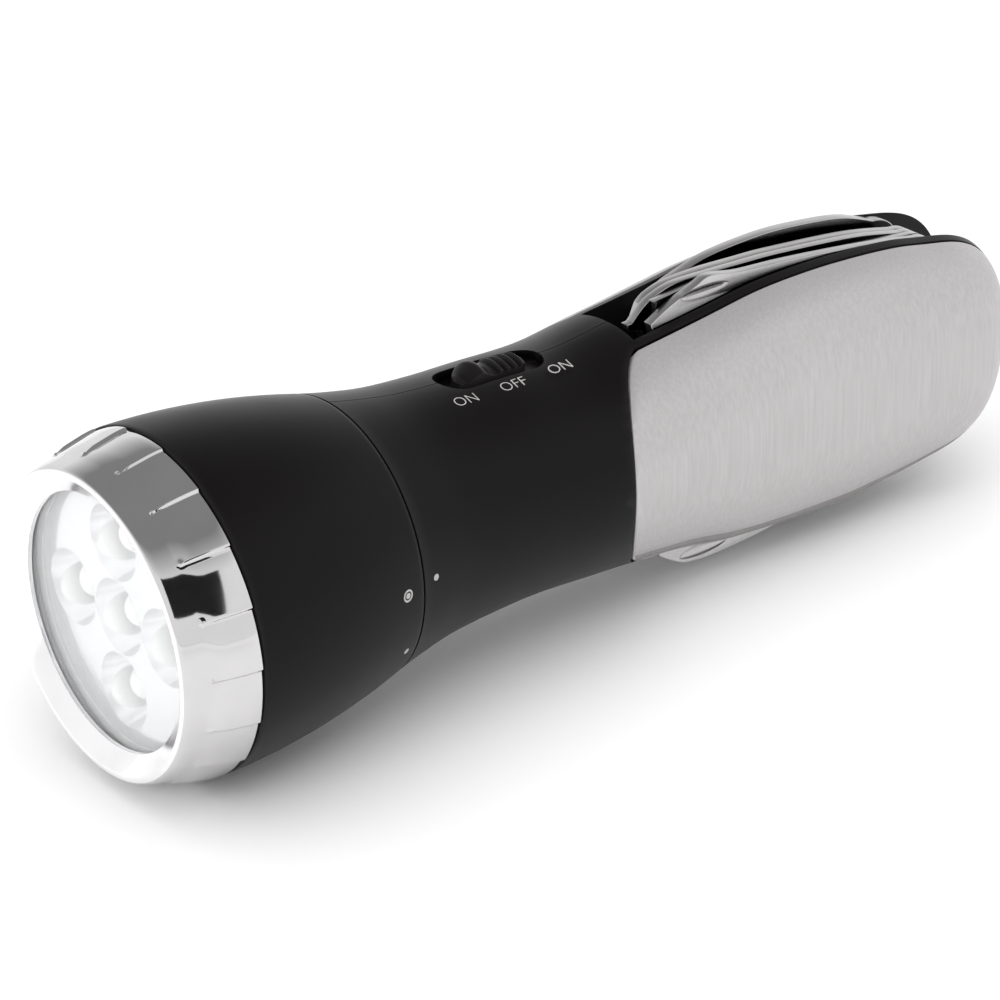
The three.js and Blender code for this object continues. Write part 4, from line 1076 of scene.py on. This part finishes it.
def polished_metal(name, color, roughness, painted_glow=0.0):
    look = Look(name, color, roughness, metallic=1.0)
    look.sockets["Emission Color"].default_value = (1, 1, 1, 1)
    look.sockets["Emission Strength"].default_value = painted_glow
    broad = look.grain(EVEN, 140.0, 5.0)
    fine = look.grain(EVEN, 2400.0, 3.0)
    look.tint(look.ranged(broad, 0.35, 0.65, 0, 1), tuple(c * 0.94 for c in color), color)
    look.roughen(broad, roughness, roughness + 0.03)
    look.bump(fine, 0.02, 0.00002)
    return look.material


def brushed_metal(name, color, roughness, stretch, scale, depth, metallic=1.0):
    look = Look(name, color, roughness, metallic)
    streaks = look.grain(stretch, scale, 6.0)
    broad = look.grain(EVEN, 70.0, 3.0)
    look.tint(look.spread(streaks, 0, 1), tuple(c * 0.88 for c in color), color)
    look.roughen(broad, roughness - 0.03, roughness + 0.04)
    look.bump(streaks, depth, 0.00004)
    return look.material


# Steel with painted shade: its colour turns dark where its neighbours crowd it, by ambient occlusion
def metal_with_painted_shade(name, dark, color, roughness, stretch, scale):
    look = Look(name, color, roughness, metallic=1.0)
    streaks = look.grain(stretch, scale, 6.0)
    painted_shade_occlusion = look.node("ShaderNodeAmbientOcclusion", samples=16, Distance=0.006)
    # Painted shade: the colour goes dark where the occlusion is strong
    look.tint(look.ranged(painted_shade_occlusion.outputs["AO"], 0.7, 0.97, 0, 1), dark, color)
    look.roughen(streaks, roughness - 0.03, roughness + 0.05)
    look.bump(streaks, 0.05, 0.00004)
    return look.material


def clear_plastic(name):
    look = Look(name, (0.94, 0.95, 0.96), 0.05)
    look.sockets["Alpha"].default_value = 0.28
    fine = look.grain(EVEN, 900.0, 3.0)
    look.roughen(fine, 0.02, 0.05)
    look.bump(fine, 0.02, 0.00002)
    return look.material


# A lamp that glows at its tip and fades towards its base, both given in metres along X
def glowing(name, color, strength, tip, base):
    look = Look(name, color, 0.2)
    look.sockets["Emission Color"].default_value = (1, 0.99, 0.96, 1)
    place = look.node("ShaderNodeSeparateXYZ")
    look.links.new(look.node("ShaderNodeTexCoord").outputs["Object"], place.inputs["Vector"])
    fade = look.ranged(place.outputs["X"], tip, base, strength, 0)
    look.links.new(fade, look.sockets["Emission Strength"])
    broad = look.grain(EVEN, 700.0, 3.0)
    look.tint(look.spread(broad, 0, 1), tuple(c * 0.9 for c in color), color)
    look.roughen(broad, 0.12, 0.25)
    look.bump(broad, 0.05, 0.00003)
    return look.material


def dull(name, dark, light, roughness, scale=900.0):
    look = Look(name, dark, roughness)
    fine = look.grain(EVEN, scale, 4.0)
    look.tint(look.spread(fine, 0, 1), dark, light)
    look.roughen(fine, roughness - 0.06, roughness + 0.06)
    look.bump(fine, 0.15, 0.00005)
    return look.material


BLACK = satin_plastic("satin_black", (0.0026, 0.0018, 0.0019), (0.013, 0.012, 0.012), 0.34)
KNOB_BLACK = satin_plastic("knob_black", (0.0036, 0.0028, 0.0028), (0.02, 0.018, 0.018), 0.32)
CHROME = polished_metal("bright_chrome", (0.68, 0.67, 0.675), 0.05)
# A brighter copy of the chrome for the front rim and cone: a painted highlight
RIM_PAINTED_HIGHLIGHT = polished_metal("rim_painted_highlight", (0.95, 0.94, 0.95), 0.1)
# The reflector's silvering has a faint painted glow, though it is no lamp
SILVERED = polished_metal("silvering", (0.95, 0.95, 0.96), 0.1, painted_glow=0.1)
PLATE_FINISH = {"roughness": 0.42, "stretch": (4, 4, 0.12), "scale": 600.0, "depth": 0.16, "metallic": 0.6}
PLATE = brushed_metal("brushed_plate", (0.54, 0.522, 0.526), **PLATE_FINISH)
# A darker copy of the plate steel: painted shadow for the strip under the crease
CREASE_PAINTED_SHADOW = brushed_metal("crease_painted_shadow", (0.3, 0.288, 0.288), **PLATE_FINISH)
TOOL_EDGE = brushed_metal("tool_edge", (0.57, 0.56, 0.56), 0.3, (1, 8, 8), 260.0, 0.1)
# The tools' faces take painted shade where neighbouring tools and walls crowd them
TOOL_FACE = metal_with_painted_shade("tool_face", (0.01, 0.01, 0.01), (0.6, 0.59, 0.59), 0.16, (1, 8, 8), 260.0)
FILE_FACE = brushed_metal("file_face", (0.8, 0.79, 0.79), 0.45, (3, 8, 8), 700.0, 0.4, 0.6)
SPRING_STEEL = brushed_metal("spring_steel", (0.45, 0.45, 0.46), 0.32, (1, 6, 6), 300.0, 0.15)
LENS = clear_plastic("clear_lens")
LAMP_TIP_X = ORIGIN.x + (LAMP_BASE_X - LAMP_LENGTH) * MM
LAMP = glowing("lamp_body", (0.6, 0.6, 0.59), 0.5, LAMP_TIP_X, LAMP_TIP_X + LAMP_RADIUS * MM)
RUBBER = dull("rubber", (0.012, 0.012, 0.012), (0.03, 0.03, 0.03), 0.75)
SILICONE = dull("pale_silicone", (0.82, 0.82, 0.82), (0.9, 0.9, 0.9), 0.45)
INNER = dull("inner_black", (0.02, 0.02, 0.02), (0.04, 0.04, 0.04), 0.55)
BOARD = dull("board_green", (0.02, 0.12, 0.045), (0.03, 0.17, 0.06), 0.5)
SLEEVE = dull("cell_sleeve", (0.12, 0.13, 0.15), (0.17, 0.18, 0.2), 0.35)
PRINT = dull("print_grey", (0.42, 0.41, 0.4), (0.5, 0.49, 0.48), 0.5)
FLOOR = dull("floor_white", (0.96, 0.96, 0.96), (0.98, 0.98, 0.98), 0.8, 3.0)
DARK_CARD = dull("dark_card", (0.002, 0.002, 0.002), (0.004, 0.004, 0.004), 0.9, 30.0)


# Putting pieces in the row frame and on their bodies
def shaded(piece):
    piece.data.shade_smooth()
    piece.data.set_sharp_from_angle(angle=SHARP_ANGLE)


def dress(piece, name, body, slot, look, *nodes):
    piece.name = name
    piece.data.transform(Matrix.Translation(ORIGIN) @ Matrix.Scale(MM, 4))
    shaded(piece)
    piece.data.materials.clear()
    piece.data.materials.append(look)
    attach(piece, body)
    if nodes:
        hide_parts(*nodes)
    return piece


ring = dress(bezel(), "bezel_fine", "head", "chrome_trim", CHROME, "bezel")
# The front rim and cone take the brighter chrome, a painted highlight
ring.data.materials.append(RIM_PAINTED_HIGHLIGHT)
for polygon in ring.data.polygons:
    middle = (polygon.center - ORIGIN) / MM
    inside = math.hypot(middle.y, middle.z) < RIM_FLAT_OUTER
    polygon.material_index = 1 if inside and middle.x < LIP_DEPTH + LIP_THICKNESS else 0
dress(reflector(), "reflector_fine", "head", "silvered_reflector", SILVERED, "reflector")
for key, (y, z) in CUP_PLACES.items():
    dress(moved(lamp("lamp"), y=y, z=z), f"led_{key}_fine", "head", "led_body", LAMP, f"led_{key}")
dress(head_bell(), "head_bell_fine", "head", "black_shell", BLACK, "head_bell")
near_shell, far_shell = shells()
dress(near_shell, "left_shell_fine", "handle", "black_shell", BLACK, "left_shell")
dress(far_shell, "right_shell_fine", "handle", "black_shell", BLACK, "right_shell")
for side, name in ((-1, "left_side_plate"), (1, "right_side_plate")):
    plate = dress(side_plate("plate", side), f"{name}_fine", "handle", "plate_steel", PLATE, name)
    # The strip just under each plate's crease takes the painted shadow
    plate.data.materials.append(CREASE_PAINTED_SHADOW)
    for polygon in plate.data.polygons[:PLATE_STEPS * (len(PLATE_SHARES) - 1)]:
        row = polygon.index // PLATE_STEPS
        under_crease = CREASE_SHARE - (PLATE_SHARES[row] + PLATE_SHARES[row + 1]) / 2
        polygon.material_index = 1 if 0 < under_crease < CREASE_PAINTED_SHADOW_SHARE else 0
dress(knob(), "switch_knob_fine", "switch", "black_knob", KNOB_BLACK, "switch_knob")

TOOLS = (
    ("knife_blade", "knife", 0, 1, KNIFE_SPINE_SHARES, KNIFE_EDGE_SHARES),
    ("small_screwdriver", "screwdriver", 1, 1, DRIVER_SPINE_SHARES, DRIVER_EDGE_SHARES),
    ("bottle_opener", "bottle_lever", 2, 1, BOTTLE_SPINE_SHARES, BOTTLE_EDGE_SHARES),
    ("can_opener", "can_lever", 3, 1, CAN_SPINE_SHARES, CAN_EDGE_SHARES),
    ("saw_blade", "saw", 5, 1, SAW_SPINE_SHARES, saw_edge()),
    ("nail_file", "file", 0, -1, FILE_SPINE_SHARES, FILE_EDGE_SHARES),
    ("awl", "punch", 2, -1, AWL_SPINE_SHARES, AWL_EDGE_SHARES),
    ("phillips_screwdriver", "cross_driver", 4, -1, SHAFT_SPINE_SHARES, SHAFT_EDGE_SHARES),
)
for name, body, layer, side, spine, edge in TOOLS:
    cutters = []
    additions = []
    if name == "knife_blade":
        cutters = [nick(side), *grinds(side, LAYER_THICKNESSES[layer], KNIFE_LOW_SHARE)]
    if name == "nail_file":
        cutters = [nick(side)]
    if name == "phillips_screwdriver":
        additions = [cross_tip(LAYER_THICKNESSES[layer] / 2)]
    piece = tool("tool", layer, side, spine, edge, cutters, additions)
    look = FILE_FACE if name == "nail_file" else TOOL_FACE
    dress(piece, f"{name}_fine", body, "tool_steel", look, name)
    piece.data.materials.append(TOOL_EDGE)
    for polygon in piece.data.polygons:
        polygon.material_index = 0 if abs(polygon.normal.y) > FLAT_FACE else 1

# CAD nodes that keep their own shape
CARRIED = (
    (LENS, ["lens"]),
    (SILICONE, ["lens_gasket"]),
    (BOARD, ["led_board"]),
    (RUBBER, ["neck_o_ring"]),
    (INNER, ["switch_body", "battery_holder"]),
    (SLEEVE, [f"battery_{i}" for i in (1, 2, 3)]),
    (SPRING_STEEL, [
        *(f"{kind}_{i}" for kind in ("battery_spring", "lower_spacer", "back_spring") for i in (1, 2, 3)),
        "back_spring_4", "head_contact_spring", "rear_contact_spring", "upper_spacer",
        "top_pivot_pin", "bottom_pivot_pin", "front_spring_pin", "rear_spring_pin",
    ]),
)
for look, names in CARRIED:
    for name in names:
        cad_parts[name].material_slots[0].material = look


# Marks printed on the head and barrel, let into the surface, in millimetres
MARK_HEIGHT = 0.03
MARK_DEPTH = 0.06
WORD_HEIGHT = 1.8
WORD_ANGLE = 18
WORD_THINNING = 0.045
WORD_HALF_DEPTH = 0.045
WORD_SINKING = 0.015
WORD_JOIN = 1e-4
CAPITAL_SHARE = 0.73
MARKS = (
    ("twist_ring_mark", "head", 0.85, 0.6, 34.5, 87.9),
    ("twist_ring_dot", "head", 0.4, 0, 34.5, 87.9),
    ("twist_dot_mark", "head", 0.42, 0, 35.4, 114.7),
    ("body_dot_mark", "handle", 0.45, 0, 40.06, 87.2),
)
WORDS = (("ON", 56.1), ("OFF", 64.1), ("ON", 72.0))


def surface_radius(x):
    return bell_radius(x) if x < HEAD_LENGTH else section_at(x, 0)[0]


def wrapped(piece, x0, angle):
    middle = math.radians(angle)
    for vertex in piece.data.vertices:
        u, v, w = vertex.co
        x = x0 + u
        radius = surface_radius(x)
        turn = middle - v / radius
        vertex.co = (x, -(radius + w) * math.sin(turn), (radius + w) * math.cos(turn))
    return piece


def disc(radius, low, high):
    return prism("disc", circle(0, 0, radius), low, high, lambda u, v, w: (u, v, w))


def dot(radius, inner):
    mark = disc(radius, -MARK_DEPTH, MARK_HEIGHT)
    return cut(mark, [disc(inner, -1, 1)]) if inner else mark


def lettering(text):
    curve = bpy.data.curves.new("word", "FONT")
    curve.body = text
    curve.size = WORD_HEIGHT / CAPITAL_SHARE
    curve.align_x = "CENTER"
    curve.align_y = "CENTER"
    curve.offset = -WORD_THINNING
    curve.extrude = WORD_HALF_DEPTH
    curve.resolution_u = 4
    holder = added("word", curve)
    graph = bpy.context.evaluated_depsgraph_get()
    mesh = bpy.data.meshes.new_from_object(holder.evaluated_get(graph))
    bpy.data.objects.remove(holder)
    form = bmesh.new()
    form.from_mesh(mesh)
    bmesh.ops.remove_doubles(form, verts=form.verts, dist=WORD_JOIN)
    bmesh.ops.translate(form, verts=form.verts, vec=(0, 0, -WORD_SINKING))
    form.to_mesh(mesh)
    form.free()
    return added("word", mesh)


for name, body, radius, inner, x, angle in MARKS:
    dress(wrapped(dot(radius, inner), x, angle), name, body, "black_shell", PRINT)
for index, (text, x) in enumerate(WORDS):
    word = wrapped(lettering(text), x, WORD_ANGLE)
    dress(word, f"switch_word_{index + 1}", "handle", "black_shell", PRINT)


# Floor, light and camera, in metres and watts
FLOOR_SIZE = 12
CARD_SIZE = 0.24
CARD_PLACE, CARD_TARGET = (-0.148, -0.44, 0.29), (-0.074, -0.018, 0.035)
LAMPS = (
    ("overhead", (0, 0, 3.6), (0, 0, 0.02), 6.6, 135.0),
    ("left", (-0.8, -0.25, 0.45), (-0.03, 0, 0.02), 0.5, 1.6),
)
CAMERA_PLACE = (-0.272681, -0.334469, 0.233650)
CAMERA_ANGLES = (63.2379, 1.0886, -38.5134)


def flat_plane(name, size):
    mesh = bpy.data.meshes.new(name)
    half = size / 2
    corners = [(-half, -half, 0), (half, -half, 0), (half, half, 0), (-half, half, 0)]
    mesh.from_pydata(corners, [], [(0, 1, 2, 3)])
    return added(name, mesh)


floor = flat_plane("floor", FLOOR_SIZE)
floor.data.materials.append(FLOOR)


def facing(thing, place, target):
    thing.location = place
    thing.rotation_euler = (Vector(target) - Vector(place)).to_track_quat("-Z", "Y").to_euler()


# A dark card beside the camera that the chrome ring reflects
card = flat_plane("card", CARD_SIZE)
card.data.materials.append(DARK_CARD)
card.visible_camera = False
facing(card, CARD_PLACE, CARD_TARGET)

for name, place, target, size, power in LAMPS:
    data = bpy.data.lights.new(name, "AREA")
    data.shape = "DISK"
    data.size = size
    data.energy = power
    light = added(name, data)
    light.visible_glossy = False
    facing(light, place, target)

# A studio with white walls that fade into a darker ceiling
CEILING = Vector((0.05, 0.2, 0.98)).normalized()
CEILING_FADE = (0.5, 0.8)
WALL_STRENGTH, CEILING_STRENGTH = 1.0, 0.3
world = bpy.data.worlds.new("world")
bpy.context.scene.world = world
world.use_nodes = True
sky = Graph(world.node_tree)
sky.nodes.clear()
output = sky.node("ShaderNodeOutputWorld")
around = sky.node("ShaderNodeBackground", Color=(1, 1, 1, 1))
upwards = sky.node("ShaderNodeVectorMath", operation="DOT_PRODUCT")
upwards.inputs[1].default_value = CEILING
sky.links.new(sky.node("ShaderNodeTexCoord").outputs["Generated"], upwards.inputs[0])
strength = sky.ranged(upwards.outputs["Value"], *CEILING_FADE, WALL_STRENGTH, CEILING_STRENGTH)
sky.links.new(strength, around.inputs["Strength"])
sky.links.new(around.outputs["Background"], output.inputs["Surface"])

camera_data = bpy.data.cameras.new("camera")
camera_data.lens = 126
camera_data.sensor_width = 36
camera = added("camera", camera_data)
camera.location = CAMERA_PLACE
camera.rotation_euler = Euler([math.radians(a) for a in CAMERA_ANGLES])
bpy.context.scene.camera = camera
bpy.context.scene.view_settings.view_transform = "Standard"
